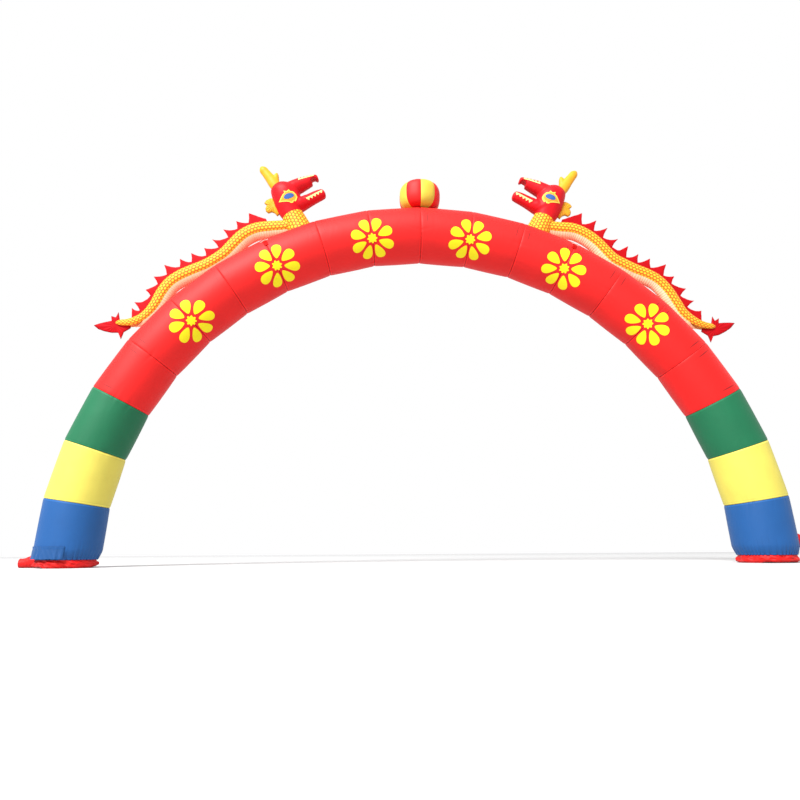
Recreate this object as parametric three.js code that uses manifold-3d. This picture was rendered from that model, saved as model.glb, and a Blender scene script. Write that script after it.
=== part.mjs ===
// Inflatable celebration arch: a half ring of twenty mitred cloth tubes on two feet, a striped
// ball on the crown and a scaled dragon on each shoulder.
// Millimetres, +Z up, +X along the span and -Y to the front. The origin is on the ground, midway
// between the feet. A place on the half ring is given by its distance from the ring's centre and
// its angle from straight up, in degrees. The left dragon has the negative angles.

import * as THREE from 'three';
import * as BufferGeometryUtils from 'three/addons/utils/BufferGeometryUtils.js';
import Module from 'manifold-3d';

const wasm = await Module();
wasm.setup();

// Driving dimensions
const SPAN = 10000;
const TUBE_D = 800;
const SEGMENTS = 20;
const SKIRT_H = 100;
const GAP = 0.3;

const TUBE_R = TUBE_D / 2;
const RING_R = (SPAN - TUBE_D) / 2;
const TURN = 180 / SEGMENTS;
const RING_Z = SKIRT_H;
const TUBE_SIDES = 24;

// The cloth is drawn in at each seam, and more where a foot stands on its skirt.
const SEAM_PINCH = 6;
const PINCH_LENGTH = 45;
const FOOT_ROUNDING = [
    { up: 0, draw: 48 },
    { up: 45, draw: 22 },
    { up: 130, draw: 0 },
];

// Crown ball
const BALL = { radius: 302, halfHeight: 232, z: 5322, gores: 8, firstSeam: 3, seamDraw: 0.03 };
const GORE_COLUMNS = 4;
const GORE_ROWS = 8;

// Dragon body: place of its middle and its radius, from the chest to the tail's end.
const BODY_PATH = [
    { angle: 20.5, r: 5095, radius: 102 },
    { angle: 22.5, r: 5098, radius: 106 },
    { angle: 25, r: 5165, radius: 113 },
    { angle: 27.3, r: 5224, radius: 118 },
    { angle: 29.3, r: 5232, radius: 119 },
    { angle: 31.5, r: 5196, radius: 116 },
    { angle: 33.5, r: 5138, radius: 113 },
    { angle: 35.2, r: 5108, radius: 112 },
    { angle: 37, r: 5126, radius: 111 },
    { angle: 39.2, r: 5184, radius: 110 },
    { angle: 41.2, r: 5226, radius: 109 },
    { angle: 43, r: 5239, radius: 108 },
    { angle: 45, r: 5208, radius: 105 },
    { angle: 47, r: 5147, radius: 101 },
    { angle: 48.6, r: 5101, radius: 96 },
    { angle: 50, r: 5104, radius: 88 },
    { angle: 51.2, r: 5152, radius: 75 },
    { angle: 52.1, r: 5225, radius: 60 },
    { angle: 52.8, r: 5315, radius: 42 },
    { angle: 53, r: 5345, radius: 22 },
];
const BODY_STEPS = 30;
const BODY_SIDES = 15;
const BELLY_SIDES = 5;
const BELLY_CHORD = 0.76;
const BELLY_FROM = 21.2;
const BELLY_TO = 51.2;

// The chest is the wide front end of the body, and its upper face carries the neck.
const CHEST = { x: -1872, z: 5010, tilt: 26, topRadius: 150, footRadius: 186, depth: 380, width: 0.9 };

// Each station is the middle of a section seen from the side, the direction of the path there,
// and the section's half height in that view and half width across it.
const SKULL = [
    { x: -1850, z: 4966, heading: 116, half: 148, width: 134 },
    { x: -1885, z: 5055, heading: 110, half: 178, width: 145 },
    { x: -1912, z: 5140, heading: 100, half: 208, width: 163 },
    { x: -1942, z: 5222, heading: 95, half: 208, width: 178 },
    { x: -1972, z: 5310, heading: 92, half: 210, width: 185 },
    { x: -1982, z: 5385, heading: 86, half: 212, width: 180 },
    { x: -1972, z: 5450, heading: 80, half: 184, width: 154 },
    { x: -1960, z: 5498, heading: 76, half: 136, width: 114 },
    { x: -1952, z: 5527, heading: 74, half: 76, width: 64 },
    { x: -1950, z: 5536, heading: 74, half: 26, width: 22 },
];
const UPPER_JAW = [
    { x: -2010, z: 5365, heading: 27, half: 112, width: 132 },
    { x: -1870, z: 5437, heading: 27, half: 112, width: 128 },
    { x: -1760, z: 5498, heading: 26, half: 105, width: 112 },
    { x: -1660, z: 5545, heading: 25, half: 92, width: 96 },
    { x: -1590, z: 5580, heading: 25, half: 82, width: 84 },
    { x: -1540, z: 5606, heading: 24, half: 62, width: 68 },
    { x: -1512, z: 5616, heading: 24, half: 48, width: 50 },
    { x: -1502, z: 5620, heading: 24, half: 26, width: 28 },
];
const LOWER_JAW = [
    { x: -1940, z: 5130, heading: 22, half: 122, width: 138 },
    { x: -1795, z: 5172, heading: 23, half: 124, width: 134 },
    { x: -1700, z: 5217, heading: 25, half: 109, width: 116 },
    { x: -1610, z: 5264, heading: 26, half: 94, width: 100 },
    { x: -1520, z: 5312, heading: 26, half: 84, width: 90 },
    { x: -1450, z: 5347, heading: 26, half: 77, width: 80 },
    { x: -1410, z: 5366, heading: 26, half: 60, width: 64 },
    { x: -1395, z: 5373, heading: 26, half: 36, width: 40 },
];
const FANG_NOTCH = { x: -1560, z: 5506, radius: 48 };
const HORN_BRANCH = [
    { x: -2080, z: 5400, heading: 112, half: 74, width: 56 },
    { x: -2155, z: 5512, heading: 121, half: 82, width: 60 },
    { x: -2216, z: 5600, heading: 123, half: 74, width: 57 },
    { x: -2284, z: 5690, heading: 125, half: 62, width: 53 },
    { x: -2334, z: 5754, heading: 126, half: 56, width: 49 },
    { x: -2356, z: 5782, heading: 126, half: 34, width: 30 },
];
const HORN_PRONG = [
    { x: -2135, z: 5480, heading: 88, half: 66, width: 46 },
    { x: -2138, z: 5590, heading: 86, half: 50, width: 40 },
    { x: -2128, z: 5655, heading: 84, half: 35, width: 31 },
    { x: -2122, z: 5692, heading: 84, half: 16, width: 16 },
];
const HEAD_SIDES = 14;
const HORN_SIDES = 10;

// Outlines of the flat pieces, which lie in the plane through the middle of the dragon.
const MANE_OUTLINE = [
    { x: -2120, z: 5270 },
    { x: -2200, z: 5272 },
    { x: -2262, z: 5238 },
    { x: -2288, z: 5192 },
    { x: -2250, z: 5156 },
    { x: -2268, z: 5104 },
    { x: -2256, z: 5056 },
    { x: -2222, z: 5028 },
    { x: -2172, z: 5048 },
    { x: -2128, z: 5030 },
    { x: -2086, z: 4982 },
    { x: -2040, z: 5040 },
];
const MANE_THICKNESS = 60;

// The tail's outline is measured outwards and upwards from the end of the body.
const TAIL_END = { x: -4243, z: 3309 };
const TAIL_OUTLINE = [
    { out: -20, up: 60 },
    { out: 6, up: 168 },
    { out: 38, up: 88 },
    { out: 104, up: 109 },
    { out: 90, up: 38 },
    { out: 165, up: 22 },
    { out: 254, up: -2 },
    { out: 332, up: -31 },
    { out: 262, up: -88 },
    { out: 178, up: -119 },
    { out: 74, up: -141 },
    { out: -16, up: -139 },
    { out: -62, up: -237 },
    { out: -92, up: -132 },
    { out: -185, up: -70 },
    { out: -150, up: 30 },
    { out: -50, up: 10 },
];
const TAIL_LIFT = { left: 0, right: 0.3 };

// Back fin: the angle of each spike's tip and the height of the tip above the body.
const FIN_FROM = 25.3;
const FIN_TO = 51.05;
const FIN_BAND = 34;
const SPIKES = [
    { angle: 27.2, height: 164 },
    { angle: 28.9, height: 142 },
    { angle: 30.8, height: 160 },
    { angle: 32.9, height: 168 },
    { angle: 35.75, height: 146 },
    { angle: 38.35, height: 136 },
    { angle: 40.05, height: 124 },
    { angle: 42.1, height: 156 },
    { angle: 43.8, height: 122 },
    { angle: 45.65, height: 112 },
    { angle: 47.9, height: 166 },
    { angle: 50.6, height: 130 },
];
const SPIKE_REAR = 0.45;
const FIN_THICKNESS = 14;

// Skirts: crumpled red cloth gathered under each foot.
const SKIRT_ROWS = [
    { z: 0, radius: 352, crumple: 6 },
    { z: 26, radius: 392, crumple: 13 },
    { z: 66, radius: 376, crumple: 15 },
    { z: SKIRT_H - GAP, radius: 346, crumple: 5 },
];
const SKIRT_SIDES = 44;

// Air sleeves: the left one lies on the ground, and the right one hangs from the foot's side.
const SLEEVE_REACH = 5330;
const SLEEVE_LEFT = [
    { x: 4850, z: 96, heading: 0, half: 96, width: 92 },
    { x: 5060, z: 92, heading: 0, half: 92, width: 88 },
    { x: 5190, z: 66, heading: 0, half: 66, width: 74 },
    { x: 5280, z: 54, heading: 0, half: 54, width: 68 },
    { x: 5318, z: 46, heading: 0, half: 46, width: 58 },
    { x: SLEEVE_REACH, z: 32, heading: 0, half: 32, width: 40 },
];
const SLEEVE_RIGHT = [
    { x: 4850, z: 312, heading: 0, half: 84, width: 84 },
    { x: 5040, z: 310, heading: -4, half: 82, width: 82 },
    { x: 5148, z: 286, heading: -25, half: 76, width: 80 },
    { x: 5222, z: 214, heading: -56, half: 66, width: 76 },
    { x: 5260, z: 120, heading: -82, half: 58, width: 72 },
    { x: 5273, z: 46, heading: -90, half: 58, width: 70 },
    { x: 5273, z: 10, heading: -90, half: 44, width: 54 },
];
const SLEEVE_SIDES = 14;
const SLEEVE_Y = 100;

// Blue flap over the front outer side of the left foot, with its hem at the top.
const FLAP = { from: 187, to: 287, hemZ: 266, hemR: 404, lowZ: 112, lowR: 404, thickness: 7, rise: 13 };
const FLAP_STEPS = 20;

// Anchor tabs: short doubled webbing sewn over the seam on the front of the tube.
const TAB = { seam: 27, round: 51, length: 110, width: 62, sunk: 9, proud: 6 };

const COLOURS = {
    red: 0xf5322b,
    yellow: 0xf2e260,
    green: 0x1f7f54,
    blue: 0x2f6fc0,
    scales: 0xf4c53a,
    peach: 0xffa878,
    crimson: 0xe0202a,
    gold: 0xf7c83c,
};

const { sin, cos, PI } = Math;
const radians = (degrees) => degrees * PI / 180;
const ringPoint = (r, angle, y = 0) => new THREE.Vector3(
    r * sin(radians(angle)), y, RING_Z + r * cos(radians(angle)));
const along = (a, b, t) => a + (b - a) * t;

// A closed geometry from points and triangles, turned so that its faces point outwards.
function closedGeometry(points, faces) {
    let volume = 0;
    for (let i = 0; i < faces.length; i += 3) {
        const [a, b, c] = faces.slice(i, i + 3).map((k) => points[k]);
        volume += a.dot(b.clone().cross(c));
    }
    if (volume < 0) faces.reverse();
    const geometry = new THREE.BufferGeometry().setFromPoints(points);
    geometry.setIndex(faces);
    return geometry;
}

// A skin through rings of equally many points, closed by a fan over each end.
function skin(rings) {
    const count = rings[0].length;
    const points = rings.flat();
    const faces = [];
    for (let row = 0; row + 1 < rings.length; row++) {
        for (let i = 0; i < count; i++) {
            const a = row * count + i;
            const b = row * count + (i + 1) % count;
            faces.push(a, b, b + count, a, b + count, a + count);
        }
    }
    for (const [ring, start, back] of [[rings[0], 0, true], [rings.at(-1), points.length - count, false]]) {
        const middle = new THREE.Vector3();
        ring.forEach((p) => middle.addScaledVector(p, 1 / count));
        const centre = points.push(middle) - 1;
        for (let i = 0; i < count; i++) {
            const here = start + i;
            const next = start + (i + 1) % count;
            faces.push(...(back ? [centre, next, here] : [centre, here, next]));
        }
    }
    return closedGeometry(points, faces);
}

// Elliptical sections carried along stations in the plane y = 0, each grown by the same amount.
function loft(stations, sides, grow = 0) {
    return skin(stations.map(({ x, z, heading, half, width }) => {
        const across = new THREE.Vector3(-sin(radians(heading)), 0, cos(radians(heading)));
        return Array.from({ length: sides }, (_, i) => {
            const turn = 2 * PI * (i + 0.5) / sides;
            const point = new THREE.Vector3(x, (width + grow) * sin(turn), z);
            return point.addScaledVector(across, (half + grow) * cos(turn));
        });
    }));
}

// A flat piece: an outline of [x, z] points given a thickness about the plane y = 0.
function plate(outline, thickness) {
    const shape = new THREE.Shape(outline.map(([x, z]) => new THREE.Vector2(x, z)));
    const geometry = new THREE.ExtrudeGeometry(shape, { depth: thickness, bevelEnabled: false });
    return geometry.rotateX(PI / 2).translate(0, thickness / 2, 0);
}

function solidOf(geometry) {
    const bare = geometry.clone();
    bare.deleteAttribute('normal');
    bare.deleteAttribute('uv');
    const merged = BufferGeometryUtils.mergeVertices(bare, 1e-3);
    const mesh = new wasm.Mesh({
        numProp: 3,
        vertProperties: Float32Array.from(merged.attributes.position.array),
        triVerts: Uint32Array.from(merged.index.array),
    });
    return new wasm.Manifold(mesh);
}

function geometryOf(solid) {
    const { vertProperties, triVerts } = solid.getMesh();
    const geometry = new THREE.BufferGeometry();
    geometry.setAttribute('position', new THREE.BufferAttribute(vertProperties, 3));
    geometry.setIndex(new THREE.BufferAttribute(triVerts, 1));
    return geometry;
}

const joined = (geometries) => geometryOf(geometries.map(solidOf).reduce((a, b) => a.add(b)));
const cutBy = (geometry, cutters) => geometryOf(
    cutters.reduce((rest, cutter) => rest.subtract(solidOf(cutter)), solidOf(geometry)));

// The same geometry on the other side of the plane x = 0.
function mirrored(geometry) {
    const other = (geometry.index ? geometry : BufferGeometryUtils.mergeVertices(geometry)).clone();
    const { position } = other.attributes;
    for (let i = 0; i < position.count; i++) position.setX(i, -position.getX(i));
    other.index.array.reverse();
    return other;
}

// One mitred length of the half ring between two seams, its profile drawn in at both ends. The
// surface is longer on the outside of the bend, so each ring leans by its share of the mitre.
function tubeSegment(number, grow = 0) {
    const middle = -90 + TURN * (number + 0.5);
    const apothem = RING_R * cos(radians(TURN / 2));
    const halfLength = RING_R * sin(radians(TURN / 2)) - GAP / 2 + grow;
    const forward = new THREE.Vector3(cos(radians(middle)), 0, -sin(radians(middle)));
    const outward = new THREE.Vector3(sin(radians(middle)), 0, cos(radians(middle)));
    const centre = ringPoint(apothem, middle);
    const profile = [
        { at: -halfLength, draw: SEAM_PINCH },
        { at: PINCH_LENGTH - halfLength, draw: 0 },
        { at: halfLength - PINCH_LENGTH, draw: 0 },
        { at: halfLength, draw: SEAM_PINCH },
    ];
    if (number === 0) {
        profile.splice(0, 2, ...FOOT_ROUNDING.map(({ up, draw }) => ({ at: up - halfLength, draw })));
    }
    if (number === SEGMENTS - 1) {
        const foot = FOOT_ROUNDING.map(({ up, draw }) => ({ at: halfLength - up, draw })).reverse();
        profile.splice(2, 2, ...foot);
    }
    return skin(profile.map(({ at, draw }) => Array.from({ length: TUBE_SIDES }, (_, i) => {
        const turn = 2 * PI * i / TUBE_SIDES;
        const radius = TUBE_R - draw + grow;
        const lean = 1 + radius * cos(turn) / apothem;
        return centre.clone()
            .addScaledVector(forward, at * lean)
            .addScaledVector(outward, radius * cos(turn))
            .add(new THREE.Vector3(0, radius * sin(turn), 0));
    })));
}

// The segments that a piece between two angles may rest on, grown by the gap that it keeps.
function tubeClearance(from, to) {
    const first = Math.floor((from + 90) / TURN);
    const last = Math.floor((to + 90) / TURN);
    return Array.from({ length: last - first + 1 }, (_, i) => tubeSegment(first + i, GAP));
}

// One gore of the ball: a slice from the axis to a skin that is drawn in at its two seams.
function ballGore(number) {
    const step = 360 / BALL.gores;
    const start = BALL.firstSeam - 90 + number * step;
    const shift = GAP / 2 / sin(radians(step / 2));
    const middle = radians(start + step / 2);
    const axis = new THREE.Vector3(shift * cos(middle), shift * sin(middle), BALL.z);
    const points = [axis.clone(), axis.clone()];
    points[0].z -= BALL.halfHeight;
    points[1].z += BALL.halfHeight;
    const at = (column, row) => 2 + column * (GORE_ROWS - 1) + row - 1;
    for (let column = 0; column <= GORE_COLUMNS; column++) {
        const share = column / GORE_COLUMNS;
        const turn = radians(start + step * share);
        const draw = 1 - BALL.seamDraw * Math.pow(2 * share - 1, 2);
        for (let row = 1; row < GORE_ROWS; row++) {
            const rise = PI * (row / GORE_ROWS - 0.5);
            const radius = BALL.radius * draw * cos(rise);
            points.push(axis.clone().add(new THREE.Vector3(
                radius * cos(turn), radius * sin(turn), BALL.halfHeight * sin(rise))));
        }
    }
    const faces = [];
    for (let column = 0; column < GORE_COLUMNS; column++) {
        faces.push(0, at(column + 1, 1), at(column, 1));
        faces.push(1, at(column, GORE_ROWS - 1), at(column + 1, GORE_ROWS - 1));
        for (let row = 1; row + 1 < GORE_ROWS; row++) {
            faces.push(at(column, row), at(column + 1, row), at(column + 1, row + 1));
            faces.push(at(column, row), at(column + 1, row + 1), at(column, row + 1));
        }
    }
    for (let row = 1; row + 1 < GORE_ROWS; row++) {
        faces.push(0, at(0, row), at(0, row + 1));
        faces.push(0, at(GORE_COLUMNS, row + 1), at(GORE_COLUMNS, row));
    }
    faces.push(0, at(0, GORE_ROWS - 1), 1);
    faces.push(0, 1, at(GORE_COLUMNS, GORE_ROWS - 1));
    return cutBy(closedGeometry(points, faces), tubeClearance(-1, 1));
}

// Place, direction and radius of the dragon's body at an angle, on a smooth curve through the
// table. The left dragon lies at negative angles, so the table's angles change their sign.
const bodyCurve = new THREE.CatmullRomCurve3(
    BODY_PATH.map(({ angle, r }) => ringPoint(r, -angle)), false, 'centripetal');
function bodyShareAt(angle) {
    const next = Math.max(1, BODY_PATH.findIndex((row) => row.angle >= angle));
    const [a, b] = [BODY_PATH[next - 1], BODY_PATH[next]];
    return (next - 1 + (angle - a.angle) / (b.angle - a.angle)) / (BODY_PATH.length - 1);
}
function bodyAt(share) {
    const place = share * (BODY_PATH.length - 1);
    const row = Math.min(Math.floor(place), BODY_PATH.length - 2);
    const tangent = bodyCurve.getTangent(share);
    return {
        point: bodyCurve.getPoint(share),
        tangent,
        up: new THREE.Vector3(tangent.z, 0, -tangent.x),
        radius: along(BODY_PATH[row].radius, BODY_PATH[row + 1].radius, place - row),
    };
}

// The body's stations are the same for every piece that follows it, so that the pieces fit. A
// section is a list of turns round the body, and grow thickens what it makes.
const stationShares = Array.from({ length: BODY_STEPS + 1 }, (_, k) => k / BODY_STEPS);
const turnsBetween = (from, to, count) => Array.from(
    { length: count }, (_, i) => radians(along(from, to, i / (count - 1))));
function bodyPart(shares, turns, lift = 0, grow = 0) {
    return skin(shares.map((share) => {
        const { point, tangent, up, radius } = bodyAt(share);
        point.addScaledVector(tangent, grow * Math.sign(Math.trunc(2 * share - 1)));
        return turns.map((turn) => point.clone()
            .addScaledVector(up, (radius + grow) * sin(turn) + lift)
            .add(new THREE.Vector3(0, (radius + grow) * cos(turn), 0)));
    }));
}

const chordTurn = Math.asin(BELLY_CHORD) * 180 / PI;
const backTurns = turnsBetween(-chordTurn, 180 + chordTurn, BODY_SIDES);
const bellyTurns = turnsBetween(180 + chordTurn, 360 - chordTurn, BELLY_SIDES);
const [bellyStart, bellyEnd] = [bodyShareAt(BELLY_FROM), bodyShareAt(BELLY_TO)];
const bellyShares = stationShares.filter((share) => share >= bellyStart && share <= bellyEnd);
const roundBody = (grow) => bodyPart(stationShares, [...backTurns, ...bellyTurns.slice(1, -1)], 0, grow);
const scaledBack = () => bodyPart(stationShares, backTurns);
const bellyStrip = () => cutBy(
    bodyPart(bellyShares, bellyTurns, -GAP),
    [...tubeClearance(-BELLY_TO - 2, -BELLY_FROM + 2), chest(GAP)]);

// A round stump that leans back, wider towards the tube that it is sewn to.
function chest(grow = 0) {
    const heading = 90 + CHEST.tilt;
    const stations = [0, 0.5, 1].map((share) => ({
        x: CHEST.x - share * CHEST.depth * cos(radians(heading)),
        z: CHEST.z - share * CHEST.depth * sin(radians(heading)),
        heading,
        half: along(CHEST.topRadius, CHEST.footRadius, share),
        width: along(CHEST.topRadius, CHEST.footRadius, share) * CHEST.width,
    }));
    stations[0].x += grow * cos(radians(heading));
    stations[0].z += grow * sin(radians(heading));
    return loft(stations, HEAD_SIDES, grow);
}

function dragonBody() {
    return cutBy(joined([scaledBack(), chest()]), tubeClearance(-55, -14));
}

function dragonHead(grow = 0) {
    const whole = joined([SKULL, UPPER_JAW, LOWER_JAW].map((stations) => loft(stations, HEAD_SIDES, grow)));
    const notch = new THREE.CylinderGeometry(FANG_NOTCH.radius, FANG_NOTCH.radius, TUBE_D, 8)
        .translate(FANG_NOTCH.x, 0, FANG_NOTCH.z);
    return cutBy(whole, grow ? [] : [notch, chest(GAP), roundBody(GAP)]);
}

function dragonHorn() {
    return cutBy(joined([loft(HORN_BRANCH, HORN_SIDES), loft(HORN_PRONG, HORN_SIDES)]), [dragonHead(GAP)]);
}

function dragonMane() {
    return cutBy(plate(MANE_OUTLINE.map(({ x, z }) => [x, z]), MANE_THICKNESS), [dragonHead(GAP)]);
}

// The tail's fan of cloth, with its long lobe lifted in proportion to its reach.
function dragonTail(lift) {
    const outline = TAIL_OUTLINE.map(({ out, up }) => [
        TAIL_END.x - out,
        TAIL_END.z + up + lift * Math.max(out, 0),
    ]);
    return cutBy(plate(outline, FIN_THICKNESS), [roundBody(GAP), ...tubeClearance(-58, -45)]);
}

// The back fin stands on the body's upper line. Each spike starts at the foot of the last one,
// rises in a slightly hollow line to its tip and drops steeply behind it.
function dragonFin() {
    const onBody = (angle, height) => {
        const { point, up, radius } = bodyAt(bodyShareAt(angle));
        point.addScaledVector(up, radius + height);
        return [point.x, point.z];
    };
    const crest = [];
    let foot = FIN_FROM;
    for (const { angle, height } of SPIKES) {
        const rise = height - FIN_BAND;
        crest.push(onBody(foot, FIN_BAND), onBody(along(foot, angle, 0.55), FIN_BAND + rise * 0.45));
        crest.push(onBody(angle, height), onBody(angle + SPIKE_REAR / 2, FIN_BAND + rise * 0.42));
        foot = angle + SPIKE_REAR;
    }
    crest.push(onBody(foot, FIN_BAND));
    const seat = [];
    for (let k = 0; k <= BODY_STEPS; k++) {
        seat.push(onBody(along(FIN_TO, FIN_FROM, k / BODY_STEPS), -20));
    }
    return cutBy(plate([...crest, ...seat], FIN_THICKNESS), [roundBody(GAP)]);
}

// A skirt's edge wanders in and out by two unequal waves, which turn a little from row to row.
function footSkirt(centreX, phase, grow = 0) {
    return skin(SKIRT_ROWS.map(({ z, radius, crumple }, row) => (
        Array.from({ length: SKIRT_SIDES }, (_, i) => {
            const turn = 2 * PI * i / SKIRT_SIDES;
            const wave = 0.6 * sin(7 * turn + phase + 0.7 * row) + 0.4 * sin(11 * turn - 2 * phase + row);
            const reach = radius + grow + crumple * wave;
            return new THREE.Vector3(centreX + reach * cos(turn), reach * sin(turn), z);
        })
    )));
}

function airSleeve(stations, skirt) {
    const cutters = [tubeSegment(SEGMENTS - 1, GAP), skirt];
    return cutBy(loft(stations, SLEEVE_SIDES).translate(0, SLEEVE_Y, 0), cutters);
}

// The flap hangs from its hem, a little clear of the foot below it.
function ventFlap() {
    const top = { x: -RING_R + FLAP.rise, z: FLAP.hemZ, outer: FLAP.hemR };
    const low = { x: -RING_R, z: FLAP.lowZ, outer: FLAP.lowR };
    const corner = (row, inset, turn) => new THREE.Vector3(
        row.x + (row.outer - inset) * cos(turn), (row.outer - inset) * sin(turn), row.z);
    const rings = Array.from({ length: FLAP_STEPS + 1 }, (_, k) => {
        const turn = radians(along(FLAP.from, FLAP.to, k / FLAP_STEPS));
        return [
            corner(top, 0, turn),
            corner(top, FLAP.thickness, turn),
            corner(low, FLAP.thickness, turn),
            corner(low, 0, turn),
        ];
    });
    return cutBy(skin(rings), [tubeSegment(0, GAP)]);
}

// A short strap over the seam, sunk into the tube's round and then cut to lie on it.
function anchorTab() {
    const box = new THREE.BoxGeometry(TAB.width, TAB.length, TAB.sunk + TAB.proud)
        .translate(0, 0, TUBE_R + (TAB.proud - TAB.sunk) / 2)
        .rotateX(radians(TAB.round))
        .rotateY(radians(-TAB.seam));
    const seat = ringPoint(RING_R, -TAB.seam);
    box.translate(seat.x, seat.y, seat.z);
    return cutBy(box, tubeClearance(-TAB.seam - 1, -TAB.seam + 1));
}

const arch = new THREE.Group();
function addPiece(name, colour, geometry, roughness = 0.62) {
    const material = new THREE.MeshStandardMaterial({ color: COLOURS[colour], roughness, metalness: 0 });
    const mesh = new THREE.Mesh(geometry, material);
    mesh.name = name;
    arch.add(mesh);
}

const LEG_COLOURS = ['blue', 'yellow', 'green'];
for (let number = 0; number < SEGMENTS; number++) {
    const fromEnd = SEGMENTS - 1 - number;
    const leg = LEG_COLOURS[Math.min(number, fromEnd)];
    const side = number < fromEnd ? 'left' : 'right';
    const redNumber = String(number - LEG_COLOURS.length + 1).padStart(2, '0');
    addPiece(leg ? `leg_${side}_${leg}` : `arch_red_${redNumber}`, leg ?? 'red', tubeSegment(number));
}

for (let number = 0; number < BALL.gores; number++) {
    addPiece(`ball_gore_${number + 1}`, number % 2 ? 'red' : 'yellow', ballGore(number));
}

const skirtAt = { left: [-RING_R, 0.4], right: [RING_R, 2.1] };
const leftSleeve = airSleeve(SLEEVE_LEFT, mirrored(footSkirt(...skirtAt.left, 2 * GAP)));
addPiece('foot_skirt_left', 'red', footSkirt(...skirtAt.left), 0.7);
addPiece('foot_skirt_right', 'red', footSkirt(...skirtAt.right), 0.7);
addPiece('air_sleeve_left', 'red', mirrored(leftSleeve), 0.7);
addPiece('air_sleeve_right', 'red', airSleeve(SLEEVE_RIGHT, footSkirt(...skirtAt.right, 2 * GAP)), 0.7);
addPiece('vent_flap', 'blue', ventFlap());
addPiece('anchor_tab_left', 'crimson', anchorTab());
addPiece('anchor_tab_right', 'crimson', mirrored(anchorTab()));

const dragonPieces = [
    ['body', 'scales', dragonBody],
    ['belly', 'peach', bellyStrip],
    ['fin', 'crimson', dragonFin],
    ['head', 'crimson', dragonHead],
    ['horn', 'gold', dragonHorn],
    ['mane', 'gold', dragonMane],
];
for (const [piece, colour, make] of dragonPieces) {
    const geometry = make();
    addPiece(`dragon_left_${piece}`, colour, geometry);
    addPiece(`dragon_right_${piece}`, colour, mirrored(geometry));
}
addPiece('dragon_left_tail', 'crimson', dragonTail(TAIL_LIFT.left));
addPiece('dragon_right_tail', 'crimson', mirrored(dragonTail(TAIL_LIFT.right)));

export default arch;
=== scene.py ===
"""Inflatable celebration arch: cloth tubes, ball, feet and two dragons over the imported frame."""

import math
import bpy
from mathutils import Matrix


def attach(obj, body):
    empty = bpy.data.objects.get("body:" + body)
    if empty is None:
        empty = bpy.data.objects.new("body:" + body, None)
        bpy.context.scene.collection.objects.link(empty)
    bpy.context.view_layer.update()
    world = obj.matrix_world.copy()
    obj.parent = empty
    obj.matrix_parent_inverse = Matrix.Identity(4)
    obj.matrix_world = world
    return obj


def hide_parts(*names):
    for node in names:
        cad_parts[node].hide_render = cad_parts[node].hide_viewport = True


bl_info = {
    "name": "Celebration Arch",
    "version": (1, 0, 0),
    "blender": (4, 5, 0),
    "location": "View3D > Sidebar > Arch",
    "description": "Builds an inflatable arch of sewn cloth with a ball and two dragons",
    "category": "Add Mesh",
}

import bmesh
import bpy
import numpy as np
from mathutils import Matrix

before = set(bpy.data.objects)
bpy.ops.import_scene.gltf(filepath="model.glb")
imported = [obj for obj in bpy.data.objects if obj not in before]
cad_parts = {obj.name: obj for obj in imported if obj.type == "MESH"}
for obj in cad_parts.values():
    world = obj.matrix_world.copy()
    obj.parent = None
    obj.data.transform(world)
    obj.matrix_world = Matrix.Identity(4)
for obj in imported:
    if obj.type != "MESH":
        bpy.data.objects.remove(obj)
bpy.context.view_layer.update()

# Dragon body: degrees from straight up, metres from the ring's centre, and its radius.
BODY_PATH = {"left": np.array([
    (20.5, 5.095, 0.102), (22.5, 5.098, 0.106), (25.0, 5.165, 0.112), (27.3, 5.222, 0.116),
    (29.3, 5.218, 0.116), (31.5, 5.158, 0.112), (33.5, 5.104, 0.109), (35.2, 5.096, 0.105),
    (37.0, 5.104, 0.106), (39.2, 5.148, 0.108), (41.2, 5.190, 0.108), (43.0, 5.203, 0.106),
    (45.0, 5.166, 0.102), (47.0, 5.104, 0.096), (48.6, 5.086, 0.086), (50.0, 5.100, 0.080),
    (51.2, 5.152, 0.073), (52.1, 5.225, 0.060), (52.8, 5.315, 0.042), (53.0, 5.345, 0.022),
]), "right": np.array([
    (20.5, 5.095, 0.102), (22.5, 5.110, 0.106), (25.0, 5.165, 0.110), (27.3, 5.234, 0.110),
    (29.3, 5.243, 0.109), (31.5, 5.210, 0.107), (33.5, 5.150, 0.106), (35.2, 5.108, 0.108),
    (37.0, 5.118, 0.108), (39.2, 5.152, 0.107), (41.2, 5.204, 0.106), (43.0, 5.230, 0.104),
    (45.0, 5.205, 0.101), (47.0, 5.147, 0.098), (48.6, 5.106, 0.094), (50.0, 5.120, 0.088),
    (51.2, 5.170, 0.075), (52.1, 5.240, 0.060), (52.8, 5.318, 0.042), (53.0, 5.345, 0.022),
])}
# How many degrees further ahead the right dragon lies, by angle.
RIGHT_AHEAD = np.array([(20.5, 0.8), (26.0, 1.35), (43.0, 1.35), (52.5, 0.0)])
# Back fin: the angle and the height of each spike's tip.
SPIKES = {"left": np.array([
    (27.31, 0.194), (28.93, 0.162), (30.53, 0.188), (32.86, 0.208), (35.61, 0.168), (38.37, 0.182),
    (40.20, 0.166), (42.14, 0.196), (43.68, 0.166), (45.50, 0.152), (49.08, 0.198), (51.08, 0.148),
]), "right": np.array([
    (27.80, 0.222), (29.61, 0.214), (31.19, 0.224), (33.14, 0.214), (36.58, 0.226), (38.74, 0.184),
    (40.79, 0.184), (42.74, 0.224), (44.04, 0.162), (45.87, 0.186), (47.75, 0.194), (51.20, 0.152),
])}
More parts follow.
